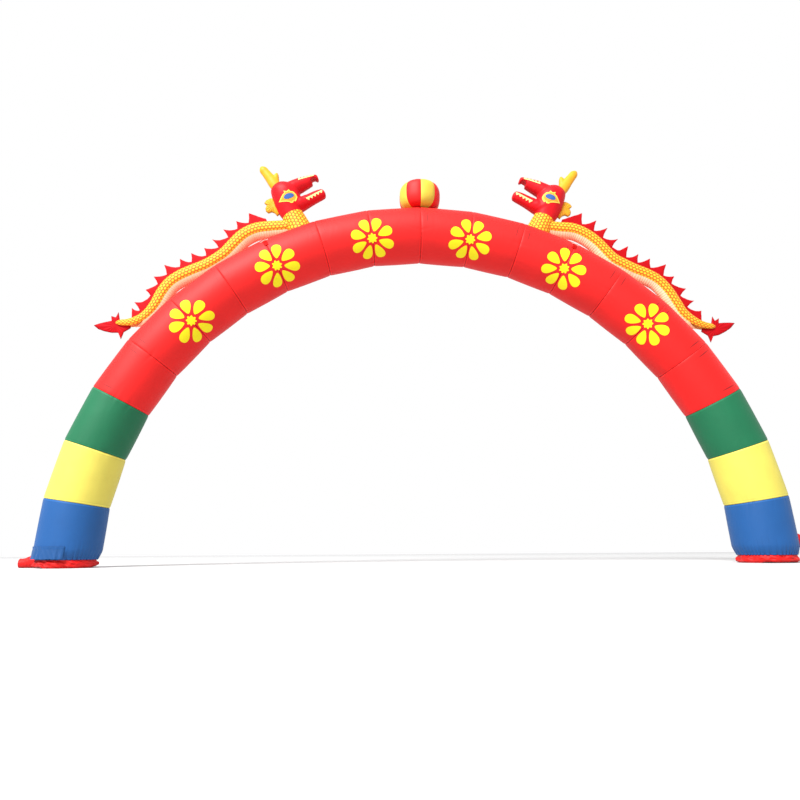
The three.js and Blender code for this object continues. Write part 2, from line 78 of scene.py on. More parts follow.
# Stations of the head: x, z, heading in degrees, half height and half width of the section.
SKULL = np.array([
    (-1.850, 4.966, 116, 0.142, 0.128), (-1.885, 5.055, 110, 0.176, 0.143),
    (-1.912, 5.140, 100, 0.208, 0.163), (-1.942, 5.222, 95, 0.208, 0.178),
    (-1.972, 5.310, 92, 0.210, 0.185), (-1.982, 5.385, 86, 0.212, 0.180),
    (-1.972, 5.440, 80, 0.180, 0.156), (-1.960, 5.480, 76, 0.134, 0.118),
    (-1.952, 5.503, 74, 0.080, 0.068), (-1.950, 5.512, 74, 0.026, 0.022),
])
UPPER_JAW = np.array([
    (-2.010, 5.365, 27, 0.112, 0.132), (-1.870, 5.437, 27, 0.116, 0.132),
    (-1.760, 5.498, 26, 0.108, 0.114), (-1.660, 5.548, 25, 0.090, 0.098),
    (-1.595, 5.580, 25, 0.076, 0.086), (-1.550, 5.602, 24, 0.064, 0.074),
    (-1.522, 5.614, 24, 0.056, 0.064), (-1.508, 5.618, 24, 0.046, 0.052),
])
LOWER_JAW = np.array([
    (-1.940, 5.130, 22, 0.122, 0.138), (-1.795, 5.156, 23, 0.109, 0.134),
    (-1.700, 5.207, 25, 0.100, 0.116), (-1.610, 5.259, 26, 0.090, 0.101),
    (-1.520, 5.312, 26, 0.086, 0.092), (-1.450, 5.347, 26, 0.078, 0.082),
    (-1.410, 5.366, 26, 0.060, 0.064), (-1.397, 5.372, 26, 0.030, 0.034),
])
HORN_BRANCH = np.array([
    (-2.080, 5.400, 112, 0.074, 0.056), (-2.155, 5.512, 121, 0.082, 0.060),
    (-2.216, 5.600, 123, 0.074, 0.057), (-2.284, 5.690, 125, 0.064, 0.054),
    (-2.334, 5.754, 126, 0.054, 0.048), (-2.358, 5.786, 126, 0.024, 0.022),
])
HORN_PRONG = np.array([
    (-2.135, 5.480, 88, 0.070, 0.048), (-2.138, 5.590, 86, 0.054, 0.042),
    (-2.128, 5.655, 84, 0.036, 0.032), (-2.122, 5.694, 84, 0.014, 0.014),
])
# Round bite before the fang: x, z and radius.
FANG_NOTCH = (-1.562, 5.552, 0.046)
# Chest stump: its middle, lean in degrees, radii at its top and foot, depth, and share of the width.
CHEST = {"x": -1.872, "z": 5.010, "tilt": 26, "top": 0.150, "foot": 0.186, "depth": 0.380,
         "width": 0.9}
# Nape frill and tail fan, as x and z and as distances from the end of the body.
MANE_OUTLINE = np.array([
    (-2.120, 5.270), (-2.200, 5.272), (-2.262, 5.238), (-2.288, 5.192), (-2.250, 5.156),
    (-2.268, 5.104), (-2.256, 5.056), (-2.222, 5.028), (-2.172, 5.048), (-2.128, 5.030),
    (-2.086, 4.982), (-2.040, 5.040), (-2.050, 5.160),
])
MANE_MIDDLE = np.array((-2.15, 5.14))
TAIL_END = np.array((-4.243, 3.309))
TAIL_OUTLINE = np.array([
    (-0.020, 0.060), (0.006, 0.168), (0.038, 0.088), (0.104, 0.109), (0.090, 0.038),
    (0.165, 0.022), (0.254, -0.002), (0.332, -0.031), (0.262, -0.088), (0.178, -0.119),
    (0.074, -0.141), (-0.016, -0.139), (-0.062, -0.237), (-0.092, -0.132), (-0.185, -0.070),
    (-0.150, 0.030), (-0.050, 0.010),
])
# Eye patch outline, forwards and up from the pupil's centre: pointed at the rear, flames in front.
EYE_OUTLINE = np.array([
    (-0.152, -0.082), (-0.120, -0.024), (-0.094, 0.022), (-0.066, 0.048), (-0.080, 0.082),
    (-0.034, 0.072), (-0.006, 0.108), (0.020, 0.082), (0.058, 0.088), (0.100, 0.056),
    (0.122, 0.012), (0.116, -0.030), (0.098, -0.074), (0.076, -0.062), (0.066, -0.094),
    (0.030, -0.104), (0.012, -0.088), (-0.040, -0.086), (-0.094, -0.084),
])
EYE_CENTRE = {"left": (-1.908, 5.215), "right": (-1.922, 5.247)}
PUPIL = {"half_length": 0.074, "half_height": 0.039, "tilt": 24}
# Tooth strips: first and last point of the gum line, and which way the teeth point.
LOWER_TEETH = ((-1.668, 5.226), (-1.440, 5.378), -1)
TOOTH_STRIPS = {
    "left": {"upper": ((-1.785, 5.516), (-1.562, 5.614), 1), "lower": LOWER_TEETH},
    "right": {"upper": ((-1.795, 5.494), (-1.562, 5.607), 1), "lower": LOWER_TEETH},
}
# How far the right head and horn stand from the left ones' mirror images.
RIGHT_HEAD = (0.014, 0.0, 0.010)
RIGHT_HORN = (0.044, 0.0, 0.010)
TEETH = 5
# Face patches are drawn flat in this plane, in front of the head's near cheek.
PATCH_Y = -0.4
# Turn below the body's middle at which the belly is cut off its circle, and the belly's rib spacing.
CHORD = math.radians(41)
RIB = 0.038
# A scale's length, and how many go round the body and round the chest.
SCALE_LENGTH, SCALES_ROUND, CHEST_SCALES = 0.054, 16, 22
# Height of the ring's centre, and corner of the mouth as x and z.
RING_HEIGHT = 0.1
MOUTH = (-1.80, 5.26)
# Half of the gap between two neighbouring cloths, and what the dragons' cloth keeps clear of the tube.
SEAM_GAP = 0.00015
CLEAR = 0.0036
# Skirt profile: height, radius and how far its waves go in and out.
SKIRT_ROWS = np.array([
    (0.0, 0.340, 0.008), (0.026, 0.374, 0.013), (0.066, 0.374, 0.013), (0.0997, 0.350, 0.004),
])
# Air sleeves, as stations of the head are given.
SLEEVE_LEFT = np.array([
    (4.850, 0.096, 0, 0.094, 0.092), (5.040, 0.096, 0, 0.094, 0.086), (5.120, 0.074, 0, 0.072, 0.076),
    (5.180, 0.062, 0, 0.060, 0.070), (5.222, 0.059, 0, 0.057, 0.066), (5.236, 0.058, 0, 0.053, 0.060),
    (5.240, 0.057, 0, 0.034, 0.040),
])
SLEEVE_RIGHT = np.array([
    (4.850, 0.312, 0, 0.084, 0.084), (5.040, 0.310, -4, 0.082, 0.082), (5.148, 0.286, -25, 0.076, 0.080),
    (5.222, 0.214, -56, 0.066, 0.076), (5.260, 0.120, -82, 0.058, 0.072), (5.273, 0.046, -90, 0.056, 0.068),
    (5.273, 0.012, -90, 0.040, 0.050),
])
SLEEVE_Y = 0.100
# Circle round a foot that the sleeves stay out of below the skirt's top.
SKIRT_CIRCLE = 0.408
# Flap on the left foot: its two ends in degrees, then heights and sizes in metres.
FLAP = {"from": 187, "to": 287, "top": 0.266, "low": 0.114, "radius": 0.4045, "thickness": 0.003,
        "hem": 0.020}
# Degrees along the tube and round it, both from its top.
ORNAMENT_ANGLES = (-45, -27, -9, 9, 27, 45)
ORNAMENT_ROUND = 116
TAB_SEAM = 27
TAB_ROUND = 59
GORES = 8
# Height of the ball's pole above its middle, and of its foot below it.
BALL_ABOVE, BALL_BELOW = 0.195, 0.236
# Painted shade of a creased line beside a seam: a dark line put into the cloth's colour, with no fold in the
# mesh under it. Its distance from the seam and half width in metres, how dark it is, and how far from the
# tube's top it lies and spreads, in radians round it.
CREASE_SHADE = {"from_seam": 0.088, "half_width": 0.014, "strength": 1.5, "shade": 0.3, "from_top": 1.32,
          "spread": 0.3}


# Colours and materials

def linear(hex_colour):
    """sRGB hex to linear: a channel c becomes c / 12.92 up to 0.04045, else ((c + 0.055) / 1.055)
    to the power 2.4."""
    channels = [int(hex_colour[i:i + 2], 16) / 255 for i in (1, 3, 5)]
    return tuple(c / 12.92 if c <= 0.04045 else ((c + 0.055) / 1.055) ** 2.4 for c in channels)


def shade(colour, factor):
    """The colour times a factor, with alpha 1."""
    return (*(min(c * factor, 1.0) for c in tuple(colour)[:3]), 1.0)


def output_of(value):
    """A node's output Fac, or else its first output in use; a socket or a plain value as it is."""
    if not isinstance(value, bpy.types.Node):
        return value
    return value.outputs.get("Fac") or next(socket for socket in value.outputs if socket.enabled)


def add_node(tree, kind, inputs=None, **settings):
    """Adds one node with its settings; an input is a plain value, a socket or another node."""
    node = tree.nodes.new(f"ShaderNode{kind}")
    for name, value in settings.items():
        setattr(node, name, value)
    for name, value in (inputs or {}).items():
        value = output_of(value)
        if isinstance(value, bpy.types.NodeSocket):
            tree.links.new(value, node.inputs[name])
        else:
            node.inputs[name].default_value = value
    return node


def mix(tree, factor, a, b, blend="MIX"):
    """Two colours mixed by a factor."""
    return add_node(tree, "Mix", {"Factor": factor, "A": a, "B": b}, data_type="RGBA", blend_type=blend)


def compute(tree, operation, *values, kind="Math"):
    """One step of arithmetic on numbers, or on vectors if the kind is VectorMath."""
    return add_node(tree, kind, dict(enumerate(values)), operation=operation)


def bump(tree, height, strength, distance, **inputs):
    """A relief from a height, as deep as the distance in metres."""
    return add_node(tree, "Bump", {"Height": height, "Strength": strength, "Distance": distance, **inputs})


def sewn(tree, tone, reach, stops):
    """The distance from the seam, and the tone times the brightness that (share of the reach,
    brightness) stops give there. Besides dark seams and stitches, the oxford's stops paint a highlight
    on the hem, and both cloths paint shade wherever a piece's seam layer is set to fall in a fold, a
    groove or at a fin's foot."""
    distance = add_node(tree, "Attribute", attribute_name="seam")
    share = add_node(tree, "MapRange", {"Value": distance, "From Max": reach})
    ramp = add_node(tree, "ValToRGB", {"Fac": share})
    elements = ramp.color_ramp.elements
    while len(elements) < len(stops):
        elements.new(1.0)
    for element, (position, value) in zip(elements, stops):
        element.position = position
        element.color = (value, value, value, 1.0)
    return distance, mix(tree, 1.0, tone, ramp, "MULTIPLY")


def start_material(name):
    """A new node material, its empty tree and its texture coordinates."""
    material = bpy.data.materials.new(name)
    material.use_nodes = True
    tree = material.node_tree
    tree.nodes.clear()
    return material, tree, add_node(tree, "TexCoord").outputs


def finish_material(material, colour, relief, roughness, sheen=0.0, specular=0.5):
    """Joins the colour, and the relief if there is one, to a Principled shader and the output."""
    values = {"Base Color": colour, "Roughness": roughness, "Sheen Weight": sheen,
              "Sheen Roughness": 0.4, "Specular IOR Level": specular}
    if relief:
        values["Normal"] = relief
    shader = add_node(material.node_tree, "BsdfPrincipled", values)
    add_node(material.node_tree, "OutputMaterial", {"Surface": shader})
    return material


def coated_oxford(name, colour, roughness=0.6, wrinkle=0.006, hem=0.05):
    """PU-coated polyester oxford: plain weave under a thin satin coat, dark in the seam, lighter on the
    turned hem beside it as a painted highlight, then a row of stitches, and painted shade of a short
    creased line beside a seam's outer end. Where a foot's seam layer falls in its folds, the same
    darkening paints shade there. Threads are about 0.5 mm apart on the real cloth, and are drawn 7 mm
    apart so that they show."""
    material, tree, places = start_material(name)
    blotches = add_node(tree, "TexNoise", {
        "Vector": places["Object"], "Scale": 2.6, "Detail": 4.0, "Roughness": 0.55})
    tone = mix(tree, blotches, shade(colour, 0.86), shade(colour, 1.12))
    distance, tone = sewn(tree, tone, hem, (
        (0.0, 0.42), (0.08, 0.55), (0.15, 1.0), (0.42, 1.0), (0.5, 0.84), (0.62, 0.74), (0.72, 0.84)))
    # Painted shade of creases: a dark line at a set distance from a seam, only where the tube's mask for it
    # is set.
    off = compute(tree, "ABSOLUTE", compute(tree, "SUBTRACT", distance, CREASE_SHADE["from_seam"]))
    line = add_node(tree, "MapRange", {
        "Value": off, "From Max": CREASE_SHADE["half_width"], "To Min": CREASE_SHADE["strength"], "To Max": 0.0})
    depth = compute(tree, "MULTIPLY", line, add_node(tree, "Attribute", attribute_name="crease_shade"))
    tone = mix(tree, depth, tone, shade(colour, CREASE_SHADE["shade"]))
    warp, weft = (add_node(tree, "TexWave", {"Vector": places["UV"], "Scale": 45.0}, bands_direction=way)
                  for way in "XY")
    threads = bump(tree, compute(tree, "MULTIPLY", warp, weft), 0.12, 0.0008)
    stretch = add_node(tree, "Mapping", {"Vector": places["Object"], "Scale": (1.0, 1.0, 0.6)})
    wrinkles = add_node(tree, "TexNoise", {
        "Vector": stretch, "Scale": 5.5, "Detail": 3.0, "Distortion": 0.8})
    folds = bump(tree, wrinkles, 0.55, wrinkle, Normal=threads)
    return finish_material(material, tone, folds, roughness, 0.03, 0.3)


def scaled_print(name, yellow, orange):
    """Printed polyester: staggered oval scales, bright in the middle and ringed with orange. The UV
    map counts scales along and round the body; every other row is moved by half a scale."""
    material, tree, places = start_material(name)
    parts = add_node(tree, "SeparateXYZ", {"Vector": places["UV"]}).outputs
    half = compute(tree, "MULTIPLY", compute(tree, "FLOOR", parts["Y"]), 0.5)
    along = compute(tree, "ADD", parts["X"], half)
    brick = add_node(tree, "CombineXYZ", {"X": along, "Y": parts["Y"]})
    cell = compute(tree, "FRACTION", brick, kind="VectorMath")
    middle = compute(tree, "SUBTRACT", cell, (0.5, 0.5, 0.0), kind="VectorMath")
    away = compute(tree, "LENGTH", middle, kind="VectorMath")
    oval = add_node(tree, "MapRange", {"Value": away, "From Min": 0.25, "From Max": 0.5},
                    interpolation_type="SMOOTHSTEP")
    tint = mix(tree, oval, shade(yellow, 1.0), shade(orange, 1.0))
    relief = bump(tree, compute(tree, "SUBTRACT", 1.0, oval), 0.5, 0.004)
    return finish_material(material, tint, relief, 0.6, 0.03, 0.2)


def taffeta(name, colour, roughness=0.62, fold=0.005, scale=9.0, gloss=0.06):
    """Thin dyed polyester taffeta: faint blotches, dark at the seam, with soft creases. The seam layer
    of the belly and the back fin turns this darkening into painted shade, in the rib grooves and along
    the fin's foot.
    """
    material, tree, places = start_material(name)
    blotches = add_node(tree, "TexNoise", {
        "Vector": places["Object"], "Scale": scale, "Detail": 3.0, "Distortion": 0.6})
    tone = mix(tree, blotches, shade(colour, 0.78), shade(colour, 1.16))
    _, tone = sewn(tree, tone, 0.02, ((0.0, 0.55), (0.3, 0.7), (0.6, 1.0)))
    return finish_material(material, tone, bump(tree, blotches, 0.6, fold), roughness, 0.0, gloss)


def applique_felt(name, colour):
    """Sewn-on polyester felt: matt, with a fine fuzz of 3 mm grain."""
    material, tree, places = start_material(name)
    fuzz = add_node(tree, "TexNoise", {"Vector": places["Object"], "Scale": 330.0, "Detail": 2.0})
    tone = mix(tree, fuzz, shade(colour, 0.9), shade(colour, 1.08))
    return finish_material(material, tone, bump(tree, fuzz, 0.2, 0.001), 0.75, 0.3, 0.3)


# Meshes from arrays

def joined(*parts):
    """Coordinate arrays spread to one shape and stacked along a new last axis."""
    return np.stack(np.broadcast_arrays(*parts), -1)


def full_turn(count):
    """Angles evenly spaced round a circle."""
    return np.linspace(0, 2 * math.pi, count, endpoint=False)


def grid(points, uv=None, seam=None, wrap=True, ends=True, crease_shade=None):
    """One grid of points with what belongs to it: wrap closes the columns, ends fans over the end rows."""
    return dict(points=points, uv=uv, seam=seam, wrap=wrap, ends=ends, crease_shade=crease_shade)


def build_piece(name, grids, sharp=50):
    """One object from one or more grids. Four neighbours of a grid make a face, an end is a fan round
    the mean of its row, points in one place are merged, and the faces are turned outwards."""
    vertices, faces, coords, layers = [], [], [], {"seam": [], "crease_shade": []}
    count = 0
    for part in grids:
        points, uv = part["points"], part["uv"]
        rows, columns = points.shape[:2]
        steps = columns if part["wrap"] else columns - 1
        low = count + np.arange(rows - 1)[:, None] * columns
        high = low + columns
        here = np.arange(steps)[None, :]
        after = (here + 1) % columns
        faces += np.stack((low + here, low + after, high + after, high + here), -1).reshape(-1, 4).tolist()
        if uv is None:
            uv = np.zeros((rows, steps + 1, 2))
        coords.append(np.stack((uv[:-1, :-1], uv[:-1, 1:], uv[1:, 1:], uv[1:, :-1]), 2).reshape(-1, 2))
        vertices.append(points.reshape(-1, 3))
        extra = 2 if part["ends"] else 0
        for layer, plain in (("seam", 1.0), ("crease_shade", 0.0)):
            values = np.full(rows * columns, plain) if part[layer] is None else part[layer].reshape(-1)
            layers[layer] += [values, np.full(extra, plain)]
        count += rows * columns
        if extra:
            rim = np.arange(columns)
            following = (rim + 1) % columns
            for first, centre, a, b in ((count - rows * columns, count, following, rim),
                                        (count - columns, count + 1, rim, following)):
                faces += np.stack((np.full(columns, centre), first + a, first + b), -1).tolist()
                coords.append(np.zeros((3 * columns, 2)))
            vertices.append(np.stack((points[0].mean(0), points[-1].mean(0))))
        count += extra
    mesh = bpy.data.meshes.new(name)
    mesh.from_pydata(np.vstack(vertices).tolist(), [], faces)
    mesh.uv_layers.new(name="UVMap").data.foreach_set("uv", np.vstack(coords).astype(np.float32).ravel())
    for layer, values in layers.items():
        set_layer(mesh, layer, np.concatenate(values))
    finish_mesh(mesh, sharp, merge=1e-6)
    return new_object(name, mesh)


def set_layer(mesh, layer, values):
    """Stores one number for each point, for the materials to read."""
    mesh.attributes.new(layer, "FLOAT", "POINT").data.foreach_set("value", values.astype(np.float32))


def smooth_faces(mesh):
    """Shades every face smoothly."""
    mesh.polygons.foreach_set("use_smooth", np.ones(len(mesh.polygons), bool))


def finish_mesh(mesh, sharp=50, merge=None):
    """Merges points closer than merge, turns the faces outwards and smooths all but sharp edges."""
    work = bmesh.new()
    work.from_mesh(mesh)
    if merge:
        bmesh.ops.remove_doubles(work, verts=work.verts, dist=merge)
    bmesh.ops.recalc_face_normals(work, faces=work.faces)
    work.to_mesh(mesh)
    work.free()
    smooth_faces(mesh)
    mesh.set_sharp_from_angle(angle=math.radians(sharp))


def new_object(name, data):
    """A new object in the scene."""
    piece = bpy.data.objects.new(name, data)
    bpy.context.scene.collection.objects.link(piece)
    return piece


def dress(piece, material, nodes=()):
    """Gives a finished piece its material and its body, and hides the CAD nodes that it stands for."""
    piece.data.materials.clear()
    piece.data.materials.append(material)
    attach(piece, "root")
    if nodes:
        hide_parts(*nodes)
    return piece


def cloth_for(node, grids, material):
    """The finished cloth that stands for one CAD node."""
    return dress(build_piece(f"{node}_cloth", grids), material, [node])


def declare_sheet(piece):
    """Reads the areas of a thin piece's faces, and does nothing more with them."""
    areas = np.zeros(len(piece.data.polygons))
    piece.data.polygons.foreach_get("area", areas)


def mirrored(piece, name, axis=0, shift=(0.0, 0.0, 0.0)):
    """A copy whose places along one axis change sign and whose faces turn over, then moved."""
    mesh = piece.data.copy()
    mesh.name = name
    places = coordinates(mesh)
    places[:, axis] *= -1
    set_coordinates(mesh, places + shift)
    mesh.flip_normals()
    return new_object(name, mesh)


def applied(piece):
    """The piece with its modifiers made part of its mesh."""
    graph = bpy.context.evaluated_depsgraph_get()
    mesh = bpy.data.meshes.new_from_object(piece.evaluated_get(graph))
    piece.modifiers.clear()
    piece.data = mesh
    return piece


def coordinates(mesh):
    """Vertex places as an array of n rows."""
    places = np.empty(len(mesh.vertices) * 3, np.float32)
    mesh.vertices.foreach_get("co", places)
    return places.reshape(-1, 3).astype(float)


def set_coordinates(mesh, places):
    """Moves the vertices to an array of places."""
    mesh.vertices.foreach_set("co", places.astype(np.float32).ravel())


# Shapes shared by the pieces

def smooth_rows(table, count):
    """A table read at evenly spaced places along the line of its first two columns, through cubic
    pieces whose slopes at the rows are the mean slopes there. Returns the rows and their distances."""
    knots = np.concatenate(([0.0], np.cumsum(np.hypot(np.diff(table[:, 0]), np.diff(table[:, 1])))))
    slopes = np.gradient(table, knots, axis=0)
    at = np.linspace(0.0, knots[-1], count)
    k = np.clip(np.searchsorted(knots, at, side="right") - 1, 0, len(knots) - 2)
    span = (knots[k + 1] - knots[k])[:, None]
    t = (at - knots[k])[:, None] / span
    rows = ((2 * t ** 3 - 3 * t ** 2 + 1) * table[k] + (t ** 3 - 2 * t ** 2 + t) * span * slopes[k]
            + (3 * t ** 2 - 2 * t ** 3) * table[k + 1] + (t ** 3 - t ** 2) * span * slopes[k + 1])
    return rows, at


def oval_tube(table, rows, columns, y=0.0, ripple=None):
    """Ellipses carried along a table of x, z, heading, half height and half width. A point is the
    station's middle, plus half height times cos(turn) across the heading, plus half width times
    sin(turn) along Y; ripple, if given, multiplies both by a function of distance and turn."""
    stations, at = smooth_rows(table, rows)
    x, z, heading, half, width = stations.T[:, :, None]
    turn = full_turn(columns)[None, :]
    scale = 1.0 if ripple is None else ripple(at[:, None], turn)
    lean = np.radians(heading)
    height = np.maximum(half, 0.004) * scale * np.cos(turn)
    points = np.stack((x - np.sin(lean) * height, y + np.maximum(width, 0.004) * scale * np.sin(turn),
                       z + np.cos(lean) * height), -1)
    around = np.linspace(0, 2 * math.pi, columns + 1)[None, :] * np.abs(half)
    uv = joined(at[:, None], around)
    return grid(points, uv)


def tube_frame(sizes):
    """The angle of one segment, the ring's radius and the distance of a segment's middle from its centre."""
    turn = math.pi / sizes.segments
    ring = (sizes.span - sizes.tube_diameter) / 2
    return turn, ring, ring * math.cos(turn / 2)


def on_tube(sizes, angle, around, radius, middle=None):
    """A point of the mitred tube. Its segment's middle angle is m. The point is rho = apothem +
    radius cos(around) from the ring's centre along m, and rho tan(angle - m) along the segment."""
    turn, _, apothem = tube_frame(sizes)
    if middle is None:
        middle = (np.floor(angle / turn) + 0.5) * turn
    out = apothem + radius * np.cos(around)
    along = out * np.tan(angle - middle)
    return joined(
        out * np.sin(middle) + along * np.cos(middle), -radius * np.sin(around),
        sizes.skirt_height + out * np.cos(middle) - along * np.sin(middle))


def tube_skin(sizes, angle):
    """Radius of the tube's cloth at an angle: the tube's, plus a barrel of 3 mm between two seams."""
    share = (angle / tube_frame(sizes)[0]) % 1
    return sizes.tube_diameter / 2 + sizes.barrel * np.sin(math.pi * share)


def rest_on_tube(sizes, points, gap=0.0006):
    """Moves points that lie in the tube straight out to its surface, as cloth that rests on it. A
    point's place across its segment is (rho - apothem, y), and its length is raised to the radius."""
    turn, _, apothem = tube_frame(sizes)
    x, y, z = np.moveaxis(points, -1, 0)
    z = z - sizes.skirt_height
    middle = (np.floor(np.arctan2(x, z) / turn) + 0.5) * turn
    out = x * np.sin(middle) + z * np.cos(middle) - apothem
    along = x * np.cos(middle) - z * np.sin(middle)
    reach = np.maximum(np.hypot(out, y), 1e-6)
    least = sizes.tube_diameter / 2 + gap
    push = np.where((reach < least) & (z > 0), least / reach, 1.0)
    out, y = out * push, y * push
    rho = out + apothem
    return np.stack((rho * np.sin(middle) + along * np.cos(middle), y,
                     rho * np.cos(middle) - along * np.sin(middle) + sizes.skirt_height), -1)


def seam_puckers(seam, around, distance):
    """Short wrinkles that leave a seam: each is a groove whose depth falls off as a Gaussian across
    it and exponentially with distance, leaning a little; the inside of the bend has deeper ones."""
    rng = np.random.default_rng(400 + seam)
    count = 22
    place = rng.uniform(0, 2 * math.pi, count)
    width = rng.uniform(0.025, 0.06, count)
    depth = rng.uniform(0.001, 0.0042, count) * (1.25 - 0.75 * np.cos(place))
    reach = rng.uniform(0.03, 0.12, count)
    lean = rng.uniform(-0.8, 0.8, count)
    off = around[..., None] - place - lean * distance[..., None]
    off = (off + math.pi) % (2 * math.pi) - math.pi
    grooves = depth * np.exp(-(off / width) ** 2 - distance[..., None] / reach)
    return grooves.sum(-1)


def tube_segment(sizes, number):
    """One straight length of the tube between two mitred seams. Its radius is the tube's, plus a
    slight barrel, less the seam's pinch exp(-d / 9 mm) and its puckers. A foot is gathered instead:
    it is drawn in over 130 mm, with folds |sin| of 21 turns, bent by a slow wave, and shade is painted
    in the grooves between the folds. The red lengths carry a mask for painted shade of creases beside
    the seams."""
    turn, _, apothem = tube_frame(sizes)
    radius = sizes.tube_diameter / 2
    start = (number - sizes.segments / 2) * turn
    edge = SEAM_GAP / apothem
    step = np.linspace(-1, 1, 57)[:, None]
    share = 0.5 + 0.5 * np.sign(step) * (1 - (1 - np.abs(step)) ** 1.9)
    feet = number == 0, number == sizes.segments - 1
    columns = 400 if any(feet) else 144
    around = full_turn(columns)[None, :]
    length = 2 * apothem * math.tan(turn / 2) * (1 + radius * np.cos(around) / apothem)
    low, high = share * length, (1 - share) * length
    shadow = np.minimum(low, high)
    draw = -sizes.barrel * np.sin(math.pi * share) + 0 * around
    for near, seam, foot in ((low, number, feet[0]), (high, number + 1, feet[1])):
        if foot:
            fall = np.clip(1 - near / 0.13, 0, 1)
            fold = np.abs(np.sin(21 * around + 1.5 * np.sin(5 * around))) ** 0.6
            draw = draw + 0.048 * fall ** 1.6 + 0.013 * np.exp(-near / 0.05) * (1 - 2 * fold)
            # Painted shade in the grooves between the folds: the seam layer falls there, so the cloth's seam
            # darkening draws them darker.
            shadow = np.minimum(shadow, 0.002 + 0.05 * fold + 0.09 * near)
        else:
            draw = draw + sizes.seam_pinch * np.exp(-near / 0.009)
        draw = draw + seam_puckers(seam, around + 0 * near, near)
    angle = start + edge + (turn - 2 * edge) * share
    points = on_tube(sizes, angle, around, radius - draw, start + turn / 2)
    along = np.concatenate((low, low[:, :1]), 1)
    uv = joined(along, np.linspace(0, 2 * math.pi * radius, columns + 1)[None, :])
    # Mask for the painted shade of creases beside the seams: a band round the tube, on the red lengths only.
    from_top = np.abs((around + math.pi) % (2 * math.pi) - math.pi)
    on_red = 3 <= number < sizes.segments - 3
    crease_shade = on_red * np.exp(-((from_top - CREASE_SHADE["from_top"]) / CREASE_SHADE["spread"]) ** 2) + 0 * near
    return grid(points, uv, shadow, crease_shade=crease_shade)


def ball_gore(sizes, number):
    """One gore: a slice of a blunt ball from its axis to its skin. The skin's radius is the ball's
    times cos(rise) to the power 0.46, less 3 % towards the seams by the fourth power, with puckers at
    the poles. Its height is sin(rise) to the power 0.75 times that of the half it is in."""
    step = 2 * math.pi / GORES
    start = -math.pi / 2 + number * step
    share = np.linspace(0, 1, 27)[None, :]
    rise = np.linspace(-math.pi / 2, math.pi / 2, 41)[:, None]
    turn = start + step * share
    to_seam = np.abs(2 * share - 1)
    pucker = 0.008 * np.sin(rise) ** 8 * np.cos(2 * math.pi * 3 * share)
    radius = sizes.ball_radius * (1 - 0.03 * to_seam ** 4 + pucker) * np.cos(rise) ** 0.46
    shift = SEAM_GAP / math.sin(step / 2)
    x, y = shift * math.cos(start + step / 2), shift * math.sin(start + step / 2)
    tall = np.where(rise > 0, BALL_ABOVE, BALL_BELOW)
    height = sizes.ball_height + tall * np.sign(rise) * np.abs(np.sin(rise)) ** 0.75
    core = joined(x, y, height)
    skin = joined(x + radius * np.cos(turn), y + radius * np.sin(turn), height)
    points = rest_on_tube(sizes, np.concatenate((core, skin, core), 1) + (0.01, 0, 0))
    axis = 0 * height
    seam = np.concatenate((axis, (1 - to_seam) / 2 * step * np.maximum(radius, 0.02), axis), 1)
    across = np.concatenate((axis, share * step * 0.3 + axis, axis, axis), 1)
    return grid(points, joined(across, rise * 0.27), seam, ends=False)


def foot_skirt(centre, phase):
    """Gathered cloth tucked under a foot. Its radius is read from the profile by height, plus two
    unequal waves round the foot, plus creases: each is 1 minus twice |sin| of the turn times its
    count, leaning with height. The rim on the floor lifts where a slow wave is above zero."""
    share = np.linspace(0, 1, 34)[:, None] ** 0.9
    turn = full_turn(480)[None, :]
    height = share * SKIRT_ROWS[-1, 0]
    radius = np.interp(height, SKIRT_ROWS[:, 0], SKIRT_ROWS[:, 1])
    crumple = np.interp(height, SKIRT_ROWS[:, 0], SKIRT_ROWS[:, 2])
    waves = 0.6 * np.sin(7 * turn + phase + 9 * height) + 0.4 * np.sin(11 * turn - 2 * phase + 14 * height)
    rng = np.random.default_rng(round(10 * phase))
    count = rng.integers(5, 24, 9)
    start, lean, bend = rng.uniform(0, 6.2, 9), rng.uniform(-55, 55, 9), rng.uniform(0.4, 1.6, 9)
    depth = rng.uniform(0.35, 1.0, 9) * 9 / count
    line = (count * turn[..., None] / 2 + start + lean * height[..., None]
            + bend * np.sin(3 * turn[..., None] + start))
    creases = ((1 - 2 * np.abs(np.sin(line))) * depth).sum(-1) * 0.0075
    fade = np.sin(math.pi * np.clip(share * 0.8 + 0.12, 0, 1))
    reach = radius + crumple * waves + creases * fade
    lift = 0.016 * np.clip(np.sin(2 * turn + 2.2 * phase) + 0.5 * np.sin(5 * turn), 0, 1) * (1 - share)
    return grid(joined(centre + reach * np.cos(turn), reach * np.sin(turn), height + lift))


def patch_on_tube(sizes, outline, angle, around, low=0.0007, high=0.0024):
    """A thin plate on the tube's front. The outline, in metres along and up the cloth from a centre
    inside it, is shrunk towards that centre row by row, first on the upper face, then on the lower."""
    _, _, apothem = tube_frame(sizes)
    radius = sizes.tube_diameter / 2
    rows = np.array([(q, high) for q in (0, 0.2, 0.4, 0.6, 0.8, 0.93, 1)]
                    + [(q, low) for q in (1, 0.93, 0.8, 0.6, 0.4, 0.2, 0)])
    middle = outline.mean(0)
    spread = middle + (outline - middle)[None] * rows[:, None, :1]
    where = around - spread[..., 1] / radius
    out = apothem + radius * np.cos(where)
    dome = 0.0006 * (1 - rows[:, None, 0] ** 2) * (rows[:, None, 1] > low)
    lift = rows[:, None, 1] + dome
    angle = angle + spread[..., 0] / out
    points = on_tube(sizes, angle, where, tube_skin(sizes, angle) + lift)
    return grid(points, ends=False)


